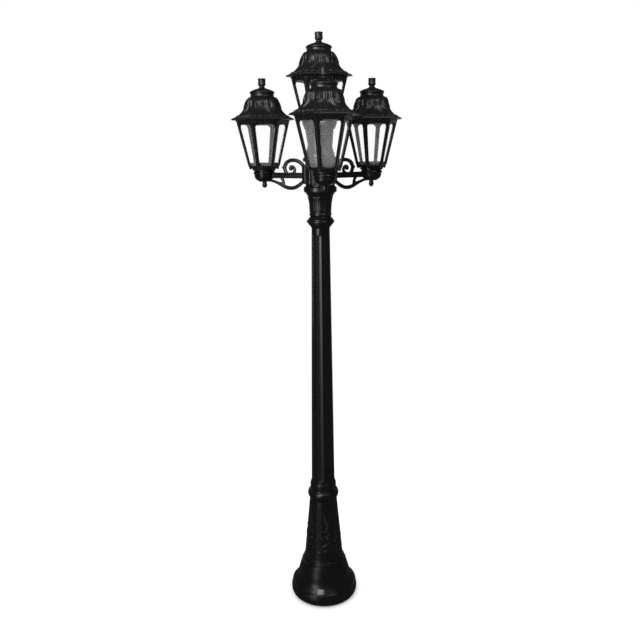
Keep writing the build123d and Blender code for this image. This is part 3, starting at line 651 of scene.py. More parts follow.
# ------------------------------------------------------------------ fluted shaft
shaft_r = lambda z: 42.4 + (31.0 - 42.4) * (z - 461.5) / (1394.0 - 461.5)
zs = [461.5, 464.5, 467.5] + list(np.arange(469.0, 490.5, 1.3)) + list(np.linspace(492, 1345, 26)) + \
     list(np.arange(1349.0, 1376.0, 1.3)) + [1378.0, 1386.0, 1393.0, 1394.0]
out_rows = [(40.0, 394.0), (40.0, 461.4)] + [(shaft_r(z), z) for z in zs]
in_rows = [(27.0, 1394.0), (36.0, 461.5), (36.0, 394.0)]
N_SHAFT = len(out_rows)


def shaft_fn(R, Z, PHI, I):
    a = (PHI / RAD + 104.3) / 30.0
    s = (a - np.round(a)) * 30.0 * RAD * R
    w = R * 14.2 * RAD
    dz = np.maximum(np.maximum(Z - (1374.0 - w), (469.5 + w) - Z), 0.0)
    q = np.sqrt(s * s + dz * dz) / w
    depth = 2.0 * np.maximum(1.0 - q * q, 0.0)
    return R - np.where((I > 1) & (I < N_SHAFT) & (q < 1.0), depth, 0.0), Z


piece("fluted_shaft", lathe(out_rows + in_rows, 360, shaft_fn), RESIN, "post", ["shaft"], sharp=64)

# ring under the capital
ring = chain(
    rounded([(24, 1394), (31.9, 1394, 0.4), (32.6, 1397, 0.8), (34.6, 1399.8, 1), (38.8, 1404.6, 2), (42.0, 1407.4, 1), (42.4, 1409.4, 0.5),
             (43.6, 1410.2, 0.5), (43.8, 1412.2, 0.5), (46.2, 1413.2, 0.8), (47.0, 1415.0, 1.0), (47.0, 1418.0, 1.0), (46.2, 1419.8, 0.8),
             (43.8, 1420.8, 0.5), (43.6, 1423.6, 0.5), (42.0, 1425.4, 0.6), (39.6, 1428.2, 1.2), (37.2, 1430.6, 0.8), (36.2, 1432.6, 0.5),
             (34.6, 1434.0), (24, 1434)], arc=3))
piece("capital_ring", lathe(ring, 180), RESIN, "post", ["collar_ring"])

# ------------------------------------------------------------------ capital with raised tongues
cap_out = chain(
    rounded([(24, 1434), (34.4, 1434, 0.3), (36.6, 1435.6, 1.0), (38.0, 1438.4, 1.4), (38.0, 1441.6, 1.4), (36.6, 1444.2, 0.8), (35.6, 1446.0)], arc=4),
    refine(catmull([(35.6, 1446.0), (36.3, 1460), (37.2, 1475), (39.4, 1489), (42.6, 1500.5), (47.0, 1508.6), (51.0, 1512.6)], 1.6), 1.6),
    rounded([(51.0, 1512.6), (53.4, 1514.0, 1.2), (55.0, 1515.6, 1.0), (55.4, 1518.0, 1.0), (55.4, 1529.0, 1.2), (54.4, 1531.2, 0.8),
             (53.6, 1531.5)], arc=3))
cap_in = np.array([(46, 1531.5), (46, 1521), (37, 1507), (32.5, 1492), (30.6, 1475), (30.2, 1446), (24, 1444)], float)
N_CAP = len(cap_out)


def cap_fn(R, Z, PHI, I):
    a = (PHI / RAD + 93.7) / 40.0
    s = (a - np.round(a)) * 40.0 * RAD * R
    w = R * 18.4 * RAD
    top = 1501.0
    dz = np.maximum(Z - (top - w), 0.0)
    q = np.sqrt(s * s + dz * dz) / w
    tongue = 1.1 * smooth(-q, -1.0, -0.88)
    line = np.exp(-((np.abs(s) - R * 5.6 * RAD) / 0.9) ** 2) * smooth(Z, 1451.0, 1455.0) * smooth(-Z, -1490.0, -1482.0)
    groove = 0.5 * line
    live = (I < N_CAP) & (Z > 1444.8) & (Z < 1512.0)
    fade = smooth(Z, 1444.8, 1447.5) * smooth(-Z, -1511.5, -1507.0)
    return R + np.where(live, (tongue - groove) * fade, 0.0), Z


piece("capital_shell", lathe(chain(cap_out, cap_in), 324, cap_fn), RESIN, "post", ["capital"], sharp=44)

# ------------------------------------------------------------------ ribbed hub drum
hub_out = chain(
    rounded([(21.2, 1531.5), (48.4, 1531.5, 0.4), (49.8, 1533.0, 0.8), (49.8, 1535.8, 0.8), (48.3, 1537.0, 0.4)], arc=3),
    refine([(48.3, 1537.0), (48.3, 1546)], 1.4), [(48.3, 1598)], refine([(48.3, 1598), (48.3, 1608.0)], 1.4),
    rounded([(48.3, 1608.0), (49.8, 1609.2, 0.5), (49.8, 1613.2, 0.6), (49.2, 1614)], arc=3))
hub_in = np.array([(46, 1614), (46, 1535.5), (21.2, 1535.5)], float)
N_HUB = len(hub_out)


def hub_fn(R, Z, PHI, I):
    a = (PHI / RAD + 90.0 - 7.5) / 15.0
    s = (a - np.round(a)) * 15.0 * RAD * R
    w = 3.3
    dz = np.maximum(np.maximum(Z - (1606.2 - w), (1538.6 + w) - Z), 0.0)
    q = np.sqrt(s * s + dz * dz) / w
    h = 1.5 * np.maximum(1.0 - q * q, 0.0) ** 0.9
    live = (I < N_HUB) & (Z > 1537.5) & (Z < 1607.5)
    return R + np.where(live, h, 0.0), Z


parts = [lathe(chain(hub_out, hub_in), 360, hub_fn),
         # shelf that carries the terminal block
         slab(rounded([(-46.6, 1553), (46.6, 1553), (46.6, 1557), (-46.6, 1557)], closed=True), 6.0, 0.5)]
piece("hub_drum", join(parts), RESIN, "post", ["hub"], sharp=44)

# ------------------------------------------------------------------ cornice and trumpet that carry the middle lantern
trumpet = chain(
    rounded([(44, 1614), (54.6, 1614, 0.5), (56.4, 1615.8, 1.0), (57.2, 1618.4, 1.0), (57.2, 1621.8, 1.2), (55.6, 1624.2, 1), (55.0, 1626.6, 0.8),
             (52.4, 1628.0, 0.8), (50.0, 1629.2, 0.5), (49.6, 1632.0, 0.8)], arc=3),
    catmull([(49.5, 1633), (48.6, 1637.5), (46.3, 1643.8), (43.6, 1652), (41.1, 1662.5), (40.0, 1672), (39.9, 1681.5)], 1.8),
    rounded([(39.9, 1681.5), (40.0, 1683.5, 0.4), (41.2, 1684.5, 0.6), (41.2, 1686.7, 0.6), (40.4, 1687.9, 0.4), (40.9, 1693.1, 1.0), (42.2, 1696.5, 0.8),
             (43.6, 1699.1, 1.4), (43.7, 1702.9, 1.4), (42.4, 1705.7, 0.8), (41.6, 1706.9, 0.4), (42.8, 1708.7, 0.7), (42.8, 1711.9, 0.5), (42.2, 1712.5)], arc=3),
    [(31.0, 1712.5), (31.0, 1693.5), (28.5, 1684.0), (24.5, 1680.0), (5.3, 1680.0), (5.3, 1675.5), (35.5, 1675.5), (36.5, 1662.0), (40.0, 1648.0), (44.0, 1636.0)])
piece("trumpet_cap", lathe(trumpet, 192), RESIN, "post", ["hub_cap"])

# ------------------------------------------------------------------ scroll arm, built once along +x and turned three times
def arm_mesh():
    parts = []
    # wall plate: back pad, raised centre and a nub at its foot
    pad = rounded([(48.0, 1546.5), (53.0, 1543.2, 2), (58.4, 1546.0, 3), (59.0, 1598.5, 3), (54.5, 1603.6, 2), (48.0, 1604)], closed=True, arc=4)
    parts.append(slab(pad, 11.0, 1.6))
    mid = rounded([(50.0, 1541.5, 2), (56.5, 1538.2, 4), (62.6, 1542.0, 4), (65.6, 1549.0, 4), (65.8, 1597.0, 4), (61.8, 1603.4, 3), (50.0, 1603.6)], closed=True, arc=4)
    parts.append(slab(mid, 7.2, 2.2))
    # bar of I section
    sec = rounded([(-6.5, 1558.0, 0.8), (6.5, 1558.0, 0.8), (6.5, 1562.0, 1.2), (4.3, 1563.4, 1.0), (4.3, 1571.6, 1.0), (6.5, 1573.0, 1.2), (6.5, 1577.0, 0.8),
                   (-6.5, 1577.0, 0.8), (-6.5, 1573.0, 1.2), (-4.3, 1571.6, 1.0), (-4.3, 1563.4, 1.0), (-6.5, 1562.0, 1.2)], closed=True, arc=3)
    us = [60.0, 100.0, 140.0, 180.0, 186.5]
    V = np.vstack([np.stack([np.full(len(sec), u), sec[:, 0], sec[:, 1]], 1) for u in us])
    n = len(sec)
    F = grid_faces(len(us), n, False, True) + [tuple(reversed(range(n))), tuple((len(us) - 1) * n + k for k in range(n))]
    parts.append(outward(V, F))
    # upper volute, its inner curl, the eye and the small leaf nub
    q = catmull([(60, 1597), (65, 1602.5), (74, 1610.2), (87, 1616.2), (103, 1618.3), (118.5, 1614.8), (129.5, 1606.5), (134, 1595.5), (132.6, 1584.5), (127, 1574.5)], 2.2)
    t = np.linspace(0, 1, len(q))
    parts.append(band(q, np.interp(t, [0, 0.2, 0.75, 1], [6.0, 6.4, 6.2, 6.0]), np.interp(t, [0, 0.5, 1], [4.8, 4.6, 4.6])))
    q = catmull([(106, 1573.5), (99.8, 1576.2), (96.0, 1582.0), (96.0, 1589.0), (100.0, 1595.6), (106.4, 1598.4), (112.6, 1596.8)], 1.8)
    t = np.linspace(0, 1, len(q))
    parts.append(band(q, np.interp(t, [0, 0.5, 1], [5.4, 4.6, 3.4]), np.interp(t, [0, 1], [4.4, 3.8])))
    for v in (-1, 1):
        parts.append(blob((110.0, v * 1.0, 1591.2), (0, v, 0), (1, 0, 0), 7.6, 7.6, 5.0, sides=24, rows=6, sink=0.7))
        parts.append(blob((140.6, v * 0.6, 1594.0), (0, v, 0), (1, 0, 0), 4.8, 4.2, 3.6, sides=18, rows=5, sink=0.7))
        parts.append(blob((127.5, v * 4.6, 1601.2), (0, v, 0), (1, -1, 0), 2.0, 2.0, 0.9, sides=14, rows=4))
    # lower S-scroll with its leaf-shaped link up to the bar
    q = catmull([(205.5, 1550.2), (195.5, 1550.0), (184, 1548.8), (168.5, 1544.6), (152, 1537.6), (134, 1529.8), (115, 1525.4), (98, 1527.0), (83, 1533.4), (71, 1541.5), (62, 1549)], 2.4)
    t = np.linspace(0, 1, len(q))
    parts.append(band(q, np.interp(t, [0, 0.12, 0.35, 0.55, 0.85, 1], [3.6, 4.2, 5.3, 6.4, 6.4, 5.4]), np.interp(t, [0, 0.5, 1], [4.0, 4.6, 4.6])))
    leaf = catmull([(141.0, 1531.0), (140.0, 1540.0), (141.2, 1549.0), (145.0, 1557.0), (149.0, 1563.0)], 1.6)
    t = np.linspace(0, 1, len(leaf))
    parts.append(band(leaf, np.interp(t, [0, 0.45, 1], [6.4, 4.6, 5.6]), 4.2))
    leaf = catmull([(144.0, 1535.0), (150.0, 1540.4), (156.6, 1543.4)], 1.6)
    t = np.linspace(0, 1, len(leaf))
    parts.append(band(leaf, np.interp(t, [0, 0.6, 1], [5.4, 4.6, 2.6]), 4.0))
    for v in (-1, 1):
        parts.append(blob((143.0, v * 3.8, 1538.0), (0, v, 0), (0, 0, 1), 5.6, 3.4, 1.6, sides=16, rows=4))
    # ribs that run along the scrolls' flat sides
    for v in (-1, 1):
        for line in ([(70, 1607.0), (87, 1616.2), (103, 1618.3), (118.5, 1614.8), (129.5, 1606.5), (134, 1595.5), (132.6, 1584.5)],
                     [(190, 1549.2), (169.5, 1544.2), (152, 1537.2), (134, 1529.8), (115, 1525.2), (98, 1526.6), (83, 1533.0), (72, 1541.0)]):
            q = catmull(line, 3.0)
            P3 = np.stack([q[:, 0], np.full(len(q), v * 4.25), q[:, 1]], 1)
            t = np.linspace(0, 1, len(q))
            parts.append(tube(P3, np.tile([0.0, v, 0.0], (len(q), 1)), np.interp(t, [0, 0.1, 0.9, 1], [0.5, 2.2, 2.2, 0.5]),
                              np.interp(t, [0, 0.1, 0.9, 1], [0.3, 0.75, 0.75, 0.3]), sides=8))
    # end cup
    z0 = EAVE_SIDE
    cup = chain(
        rounded([(31.0, -172.0), (34.0, -172.0, 0.3), (34.2, -174.6, 0.6), (36.4, -175.8, 1.0), (37.6, -178.4, 1.4), (37.6, -180.6, 1.4), (36.4, -183.2, 1.0),
                 (34.2, -184.6, 0.6), (34.2, -186.2, 0.5), (35.3, -187.6, 0.7), (35.3, -189.4, 0.7), (34.2, -190.8, 0.5)], arc=3),
        catmull([(34.2, -190.8), (33.4, -194.8), (30.8, -199.2), (26.6, -203.2), (22.0, -206.0)], 1.4),
        rounded([(22.0, -206.0), (19.8, -207.0, 0.5), (19.0, -208.6, 0.4), (17.2, -209.0), (5.3, -209.0)], arc=3),
        [(5.3, -204.5), (24.5, -204.5), (26.8, -200.5), (29.5, -196.0), (31.0, -190.0)])
    cup[:, 1] += z0
    parts.append(lathe(cup, 120, at=(REACH, 0, 0)))
    return join(parts)


AV, AF = arm_mesh()
for place, a in ARMS.items():
    piece(f"scroll_arm_{place}", (spin(AV, a), AF), RESIN, "post", [f"arm_{place}"], sharp=50)

# ------------------------------------------------------------------ lantern roof
C30 = math.cos(30 * RAD)
roof_line = chain(
    rounded([(107.4, -3.5), (108.7, -3.5, 0.3), (109.0, -2.7, 0.4), (108.4, -1.5, 0.4), (106.6, -0.9, 0.3), (106.1, 1.0, 0.5), (104.6, 2.2, 0.5), (101.6, 2.9)], arc=3),
    catmull([(101.6, 2.9), (96.6, 4.9), (91.4, 7.4), (85.4, 11.0), (79.9, 15.0), (75.0, 19.3), (70.8, 23.6), (67.6, 28.0), (65.2, 32.4), (63.6, 37.0),
             (62.2, 42.0), (61.0, 46.6), (59.6, 50.6), (57.4, 55.6), (54.4, 60.6), (50.2, 65.0), (45.4, 68.6)], 0.5),
    catmull([(45.4, 68.6), (42.2, 70.6), (40.3, 72.6), (39.5, 75.0), (39.4, 80.0)], 0.8))
arc = np.concatenate([[0.0], np.cumsum(np.linalg.norm(np.diff(roof_line, axis=0), axis=1))])
total = arc[-1]
want = np.concatenate([np.arange(0, 11.0, 0.5), np.arange(11.0, total, 1.1), [total]])
roof_out = np.stack([np.interp(want, arc, roof_line[:, 0]), np.interp(want, arc, roof_line[:, 1])], 1)
d = np.gradient(roof_out, axis=0)
d /= np.linalg.norm(d, axis=1)[:, None]
roof_nr, roof_nz = d[:, 1], -d[:, 0]
roof_in = np.array([(30.0, 80.0), (30.0, 64.0), (45.0, 64.0), (51.8, 58.5), (55.5, 50.0), (58.0, 41.0), (60.8, 32.0), (65.8, 23.5), (74.2, 15.0), (84.8, 7.0), (92.0, 3.0),
                    (78.0, 3.0), (78.0, 0.0), (103.5, 0.0), (103.5, -3.5)])
N_ROOF = len(roof_out)
LEAF_Z = [0.0, 4.5, 6.5, 9.0, 12.5, 16.5, 21.0, 27.0, 34.0, 44.0, 56.0, 64.0, 69.0]
LEAF_A = [0.0, 0.0, 2.4, 4.8, 8.4, 12.2, 15.8, 19.4, 22.2, 24.2, 24.8, 24.6, 24.0]


def hex_blend(Z):
    return smooth(Z, 38.0, 66.0)


def roof_fn(R, Z, PHI, I):
    deg = PHI / RAD
    corner = (deg / 60.0 - np.round(deg / 60.0)) * 60.0           # angle from the nearest corner
    face = ((deg - 30.0) / 60.0 - np.round((deg - 30.0) / 60.0)) * 60.0
    hexr = R * C30 / np.cos(face * RAD)
    round_r = R * 0.985
    t = hex_blend(Z)
    outer = I < N_ROOF
    neck_in = (I >= N_ROOF) & (R < 31.0)
    t = np.where(outer, t, np.where(neck_in, 1.0, smooth(Z, 50.0, 65.0)))
    rr = np.where(Z > 68.0, R, round_r)
    rr = np.where(neck_in, R, rr)
    rho = hexr * (1 - t) + rr * t
    idx = np.minimum(I, N_ROOF - 1)
    nr, nz = roof_nr[idx], roof_nz[idx]
    s = want[idx]
    # leaf on every corner: a split rounded rib each side that sweeps down to its tip, and a short grooved tongue
    w = np.interp(Z, LEAF_Z, LEAF_A)
    x = np.abs(corner) / np.maximum(w, 0.25)
    env = smooth(-x, -1.22, -1.10) * smooth(Z, 8.0, 15.0) * smooth(-Z, -71.0, -67.0)
    ribs = np.exp(-((x - 0.78) / 0.12) ** 2) + 0.7 * np.exp(-((x - 1.02) / 0.07) ** 2)
    size = np.clip(w / 17.0, 0.25, 1.0)
    tongue = smooth(-np.abs(corner), -6.0, -4.4) * smooth(Z, 33.0, 39.0) * smooth(-Z, -69.5, -66.0)
    fine = np.exp(-((np.abs(corner) - 2.5) / 0.75) ** 2)
    trough = smooth(x, 1.05, 1.22) * smooth(Z, 14.0, 30.0) * smooth(-Z, -71.0, -66.0)
    leaf = env * size * 2.6 * ribs + tongue * (1.3 - 0.7 * fine) - 0.8 * trough
    curl = 1.8 * np.exp(-((Z - 9.4) / 2.0) ** 2) * np.exp(-(corner / np.maximum(w * 0.9, 0.9)) ** 2) * smooth(Z, 5.5, 7.5)
    # thin lines above and below the frieze
    lines = 0.7 * np.exp(-((s - 14.6) / 0.9) ** 2) + 0.5 * np.exp(-((s - 31.0) / 1.0) ** 2)
    h = leaf + curl + lines * (1 - env)
    h = np.where(outer, h, 0.0)
    rho = rho + h * nr
    z = Z + h * nz
    # flat seats for the three roof screws
    X, Y = rho * np.cos(PHI), rho * np.sin(PHI)
    for b in (90.0, 210.0, 330.0):
        dist = np.hypot(X - 82.0 * math.cos(b * RAD), Y - 82.0 * math.sin(b * RAD))
        z = np.where(outer & (dist < 5.4) & (z > 5.9), 5.9, z)
    return np.minimum(rho, 109.0), z


roof_parts = [lathe(chain(roof_out, roof_in), 576, roof_fn)]
for b in (90.0, 210.0, 330.0):
    boss = rounded([(0, 3.2), (5.9, 3.2), (5.9, 7.0, 0.4), (5.5, 7.8, 0.4), (4.9, 7.8, 0.4), (4.5, 7.2, 0.3), (4.5, 6.5), (0, 6.5)], arc=3)
    roof_parts.append(lathe(boss, 32, at=(82.0 * math.cos(b * RAD), 82.0 * math.sin(b * RAD), 0)))

# slope of the roof by distance from the eave, for the frieze
slope_r = lambda s: float(np.interp(s, want, roof_out[:, 0])) * C30
slope_z = lambda s: float(np.interp(s, want, roof_out[:, 1]))


def slope_surface(mid):
    """Face of the roof whose middle lies at angle mid: x along the eave, s up the slope."""
    c, q = math.cos(mid * RAD), math.sin(mid * RAD)
    def surf(x, s):
        a, z = slope_r(s), slope_z(s)
        P = np.array([a * c - x * q, a * q + x * c, z])
        da, dz = slope_r(s + 0.7) - slope_r(s - 0.7), slope_z(s + 0.7) - slope_z(s - 0.7)
        N = np.array([dz * c, dz * q, -da])
        return P, N / np.linalg.norm(N)
    return surf


FR = 1.32                        # size of a frieze motif
for k in range(6):
    surf = slope_surface(30.0 + 60.0 * k)
    for q in (-1, 1):
        for x0 in (5.6, 24.6):
            m = lambda pts: [(q * (x0 + FR * a), 22.6 + FR * b) for a, b in pts]
            roof_parts.append(on(surf, m([(0.6, -3.6), (3.6, 0.4), (7.4, 3.2), (11.6, 2.4), (13.2, -0.6), (11.2, -3.0), (8.4, -2.4), (8.2, -0.2), (10.2, 0.2)]), 1.5,
                                 (1.1, 1.7, 1.2), (1.1, 1.9, 1.5), sides=8))
            roof_parts.append(on(surf, m([(0.8, 2.8), (3.2, 2.2), (5.0, 0.2)]), 1.4, (0.6, 1.5, 0.6), (0.7, 1.6, 0.7), sides=6))
    if k % 2 == 0:
        for ang, ln in ((90, 8.4), (58, 7.4), (122, 7.4), (28, 6.0), (152, 6.0)):
            dx, dy = math.cos(ang * RAD), math.sin(ang * RAD)
            roof_parts.append(on(surf, [(dx * 1.0, 17.6 + dy * 1.0), (dx * ln * 0.55, 17.6 + dy * ln * 0.55), (dx * ln, 17.6 + dy * ln)], 1.4,
                                 (0.6, 1.5, 0.5), (0.9, 1.9, 0.6), sides=6))
ROOF = join(roof_parts)

# ------------------------------------------------------------------ vent cap and finial
vent = chain(
    rounded([(36.0, 80.0), (39.3, 80.0, 0.2), (39.5, 81.0, 0.4)], arc=2),
    catmull([(39.5, 81.0), (41.2, 82.4), (42.2, 84.6), (41.8, 87.0), (40.2, 88.8)], 0.7),
    rounded([(40.2, 88.8), (39.2, 89.4, 0.4), (38.4, 90.2, 0.3)], arc=2),
    catmull([(38.4, 90.2), (33.8, 92.3), (28.6, 94.4), (22.0, 96.6), (16.0, 98.4), (12.2, 99.8), (10.8, 101.0)], 1.6),
    rounded([(10.8, 101.0), (10.5, 101.8, 0.3), (10.0, 102.0), (3.0, 102.0), (3.0, 96.5), (10.0, 96.5), (24.0, 91.8), (33.0, 88.6), (37.6, 85.5), (37.6, 84.0)], arc=2))
VENT = lathe(vent, 144)

fin = chain(
    [(0, 93.5), (3.0, 93.5), (3.0, 102.0)],
    rounded([(3.0, 102.0), (9.8, 102.0, 0.3), (9.7, 103.2, 0.5), (9.2, 104.0, 0.4)], arc=2),
    catmull([(9.2, 104.0), (9.3, 105.6), (10.4, 107.4), (12.3, 109.2), (13.2, 111.4), (13.0, 113.8)], 0.8),
    rounded([(13.0, 113.8), (12.5, 115.4, 0.6), (12.4, 117.0)], arc=2),
    refine([(12.4, 117.0), (12.4, 126.0)], 1.2),
    rounded([(12.4, 126.0), (12.9, 127.6, 0.8), (12.9, 129.6, 0.8), (12.0, 130.8, 0.8), (6.0, 131.3, 2), (0, 131.4)], arc=3))


def fin_fn(R, Z, PHI, I):
    live = (Z > 110.0) & (Z < 130.0) & (R > 9.0)
    a = np.abs(np.cos(6.0 * PHI))
    return R - np.where(live, 0.4 * (1 - a) ** 1.5 * smooth(Z, 110.0, 113.0) * smooth(-Z, -130.0, -128.0), 0.0), Z


FINIAL = lathe(fin, 144, fin_fn)

# ------------------------------------------------------------------ roof screws
def screw_mesh():
    head = chain([(0, -6.0), (1.4, -6.0), (2.0, -5.2), (2.0, 6.5)], rounded([(2.0, 6.5), (3.7, 6.5, 0.2), (3.85, 7.3, 0.4)], arc=2),
                 catmull([(3.8, 7.3), (3.5, 8.1), (2.9, 8.55), (2.2, 8.8), (1.6, 8.88), (1.1, 8.9), (0.6, 8.9), (0.0, 8.9)], 0.35))

    def fn(R, Z, PHI, I):
        x, y = np.abs(R * np.cos(PHI)), np.abs(R * np.sin(PHI))
        inside = (Z > 8.0) & (np.maximum(x, y) < 2.1) & (np.minimum(x, y) < 0.42)
        thread = (Z < 6.0) & (Z > -5.0)
        return R + np.where(thread, 0.16 * np.cos(2 * PI * Z / 1.2 + PHI), 0.0), Z - np.where(inside, 1.1, 0.0)
    head = refine(head, lambda z: 0.4 if z < 6.0 else 2.0)
    return lathe(head, 40, fn)


sv, sf = screw_mesh()
SCREWS = join([(sv + np.array([82.0 * math.cos(b * RAD), 82.0 * math.sin(b * RAD), 0]), sf) for b in (90.0, 210.0, 330.0)])

# ------------------------------------------------------------------ glazing cage
ZB, ZT, K = -160.0, -4.5, 0.2445
cage_r = lambda z: 52.8 + K * (z - ZB)
SL = K * C30
ML = math.sqrt(1 + SL * SL)


def window_loops():
    """Window outline and the matching points on the face's border, as (t, y) in the face's plane."""
    ht, hb = cage_r(-19.0) / 2 - 10.0, cage_r(-155.5) / 2 - 8.0
    yt, yb = (-19.0 + 90) * ML, (-155.5 + 90) * ML
    top, bot = (ZT + 90) * ML, (ZB + 90) * ML
    corners = [((hb, yb), 9.0, (1, bot)), ((ht, yt), 12.0, (1, top)), ((-ht, yt), 12.0, (-1, top)), ((-hb, yb), 9.0, (-1, bot))]
    half = lambda y: cage_r(y / ML - 90.0) / 2
    W, B, kind = [], [], []
    arcs = []
    n = 4
    for i, ((x, y), r, (sg, yo)) in enumerate(corners):
        a = np.array(corners[i - 1][0], float)
        c = np.array(corners[(i + 1) % 4][0], float)
        b = np.array([x, y], float)
        u, v = (a - b) / np.linalg.norm(a - b), (c - b) / np.linalg.norm(c - b)
        ang = math.acos(float(u @ v))
        dd = r / math.tan(ang / 2)
        o = b + (u + v) / np.linalg.norm(u + v) * (r / math.sin(ang / 2))
        s, e = b + u * dd - o, b + v * dd - o
        a0 = math.atan2(s[1], s[0])
        da = (math.atan2(e[1], e[0]) - a0 + PI) % (2 * PI) - PI
        arcs.append([o + r * np.array([math.cos(a0 + da * k / 8), math.sin(a0 + da * k / 8)]) for k in range(9)])
    # loop order: bottom right corner, right side up, top right corner, top, top left, left side, bottom left, bottom
    for i in range(4):
        sg, yo = corners[i][2]
        pts = arcs[i]
        first_is_side = i in (1, 3)          # this corner is entered along a side
        for k, q in enumerate(pts):
            W.append(q)
            if first_is_side:
                if k < 4:
                    yy = pts[0][1] + (yo - pts[0][1]) * k / 4
                    B.append((sg * half(yy), yy))
                elif k == 4:
                    B.append((sg * half(yo), yo))
                else:
                    xx = sg * half(yo) + (pts[8][0] - sg * half(yo)) * (k - 4) / 4
                    B.append((xx, yo))
            else:
                if k < 4:
                    xx = pts[0][0] + (sg * half(yo) - pts[0][0]) * k / 4
                    B.append((xx, yo))
                elif k == 4:
                    B.append((sg * half(yo), yo))
                else:
                    yy = yo + (pts[8][1] - yo) * (k - 4) / 4
                    B.append((sg * half(yy), yy))
        # run to the next corner
        nxt = arcs[(i + 1) % 4][0]
        m = 10 if i in (0, 2) else 4
        for k in range(1, m):
            q = pts[8] + (nxt - pts[8]) * k / m
            W.append(q)
            if i in (0, 2):
                B.append((sg * half(q[1]), q[1]))
            else:
                B.append((q[0], yo))
    return np.array(W), np.array(B)


def cage_mesh():
    W, B = window_loops()
    n = len(W)
    side = np.array([abs(abs(b[0]) - cage_r(b[1] / ML - 90.0) / 2) < 1e-6 for b in B])
    top, bot = (ZT + 90) * ML, (ZB + 90) * ML
    d = np.roll(W, -1, 0) - np.roll(W, 1, 0)
    d /= np.linalg.norm(d, axis=1)[:, None]
    out = np.stack([d[:, 1], -d[:, 0]], 1)            # the loop runs anticlockwise, so this points out of the window
    verts, faces = [], []
    for k in range(6):
        m = (30 + 60 * k) * RAD
        D = np.array([math.cos(m), math.sin(m), 0.0])
        T = np.array([-math.sin(m), math.cos(m), 0.0])
        Nn = np.array([D[0] / ML, D[1] / ML, -SL / ML])
        Y = np.array([D[0] * SL / ML, D[1] * SL / ML, 1 / ML])
        o = D * cage_r(-90.0) * C30 + np.array([0, 0, -90.0])
        put = lambda Q, dep: o + Q[:, :1] * T + Q[:, 1:2] * Y + np.reshape(dep, (-1, 1)) * Nn

        def border(cut_in, inner):
            """Points of the border: on a corner line they lie on the mitre between two faces."""
            P = []
            for i, (t, y) in enumerate(B):
                z = y / ML - 90.0
                if side[i]:
                    r = cage_r(z) - (5.0 / C30 if inner else 0.0) - cut_in
                    c = m + math.copysign(30 * RAD, t)
                    P.append([r * math.cos(c), r * math.sin(c), z])
                else:
                    P.append(list(D * (cage_r(z) * C30 - (5.0 if inner else 0.0)) + T * (t if not inner else t * (cage_r(z) - 5.0 / C30) / cage_r(z)) + np.array([0, 0, z])))
            return np.array(P)
        near = B + (W - B) / np.maximum(np.linalg.norm(W - B, axis=1)[:, None], 1e-6) * np.where(side, 1.7, 0.0)[:, None]
        back = 5.0 / ML
        rows = [border(0.0, True), put(W + out * 0.0, -back), put(W, -1.1), put(W + out * 0.45, -0.32), put(W + out * 1.2, 0.0), put(near, np.where(side, -0.02, 0.0)),
                border(0.55, False)]
        base = len(verts) and sum(len(v) for v in verts) or 0
        verts.extend(rows)
        R = len(rows)
        for i in range(R - 1):
            for j in range(n):
                j2 = (j + 1) % n
                faces.append((base + i * n + j, base + i * n + j2, base + (i + 1) * n + j2, base + (i + 1) * n + j))
        for j in range(n):
            j2 = (j + 1) % n
            if abs(B[j][1] - top) < 1e-6 and abs(B[j2][1] - top) < 1e-6 or abs(B[j][1] - bot) < 1e-6 and abs(B[j2][1] - bot) < 1e-6:
                faces.append((base + (R - 1) * n + j, base + (R - 1) * n + j2, base + j2, base + j))
    V, F = weld(np.vstack(verts), faces)
    V, F = outward(V, F)
    parts = [(V, F)]
    # top flange with its screw holes, as a six-sided ring
    fl = rounded([(83.0, -4.7, 0.2), (100.2, -4.7, 0.4), (101.0, -4.1, 0.3), (101.0, -2.0, 0.4), (100.4, -1.5, 0.2), (83.6, -1.5, 0.2)], closed=True, arc=2)
    holes = [lathe([(0, -8), (2.1, -8), (2.1, 2), (0, 2)], 24, at=(82.0 * math.cos(b * RAD), 82.0 * math.sin(b * RAD), 0)) for b in (90.0, 210.0, 330.0)]
    # the flange overlaps the wall's top by a little
    parts.append(cut(lathe(fl, 6), holes))
    # cove moulding under the flange
    cove = rounded([(88.8, -4.6), (93.4, -4.6, 0.4), (93.0, -5.8, 0.8), (91.2, -7.4, 1.2), (90.2, -9.2, 0.6), (87.0, -9.6)], closed=True, arc=3)
    parts.append(lathe(cove, 6))
    # floor of the cage and its outer moulding
    floor = rounded([(34.0, -160.0, 0.4), (52.6, -160.0, 0.6), (53.7, -158.6, 0.8), (53.7, -156.9, 0.6), (46.0, -156.5), (34.0, -156.5, 0.4)], closed=True, arc=2)
    ring = []
    V, F = lathe(floor, 72, lambda R, Z, P, I: (np.where(R > 40.0, R * C30 / np.cos(((P / RAD - 30.0) / 60.0 - np.round((P / RAD - 30.0) / 60.0)) * 60.0 * RAD), R), Z))
    parts.append((V, F))
    # rounded feet below the six corners
    for k in range(6):
        a = 60 * k * RAD
        nub = rounded([(0, -157.0), (3.6, -157.0), (4.0, -160.5, 1.2), (3.4, -163.6, 1.2), (3.6, -165.0, 0.8), (2.4, -167.0, 1.2), (0, -167.4)], arc=3)
        parts.append(lathe(nub, 20, at=(47.6 * math.cos(a), 47.6 * math.sin(a), 0)))
        # bead down the outer edge of every bar
        zz = np.linspace(-155.0, -9.0, 24)
        P = np.stack([(cage_r(zz) - 0.9) * math.cos(a), (cage_r(zz) - 0.9) * math.sin(a), zz], 1)
        N = np.tile([math.cos(a), math.sin(a), -K], (len(zz), 1))
        N /= np.linalg.norm(N[0])
        parts.append(tube(P, N, 1.9, 1.75, sides=12))
    return join(parts)


CAGE = cage_mesh()

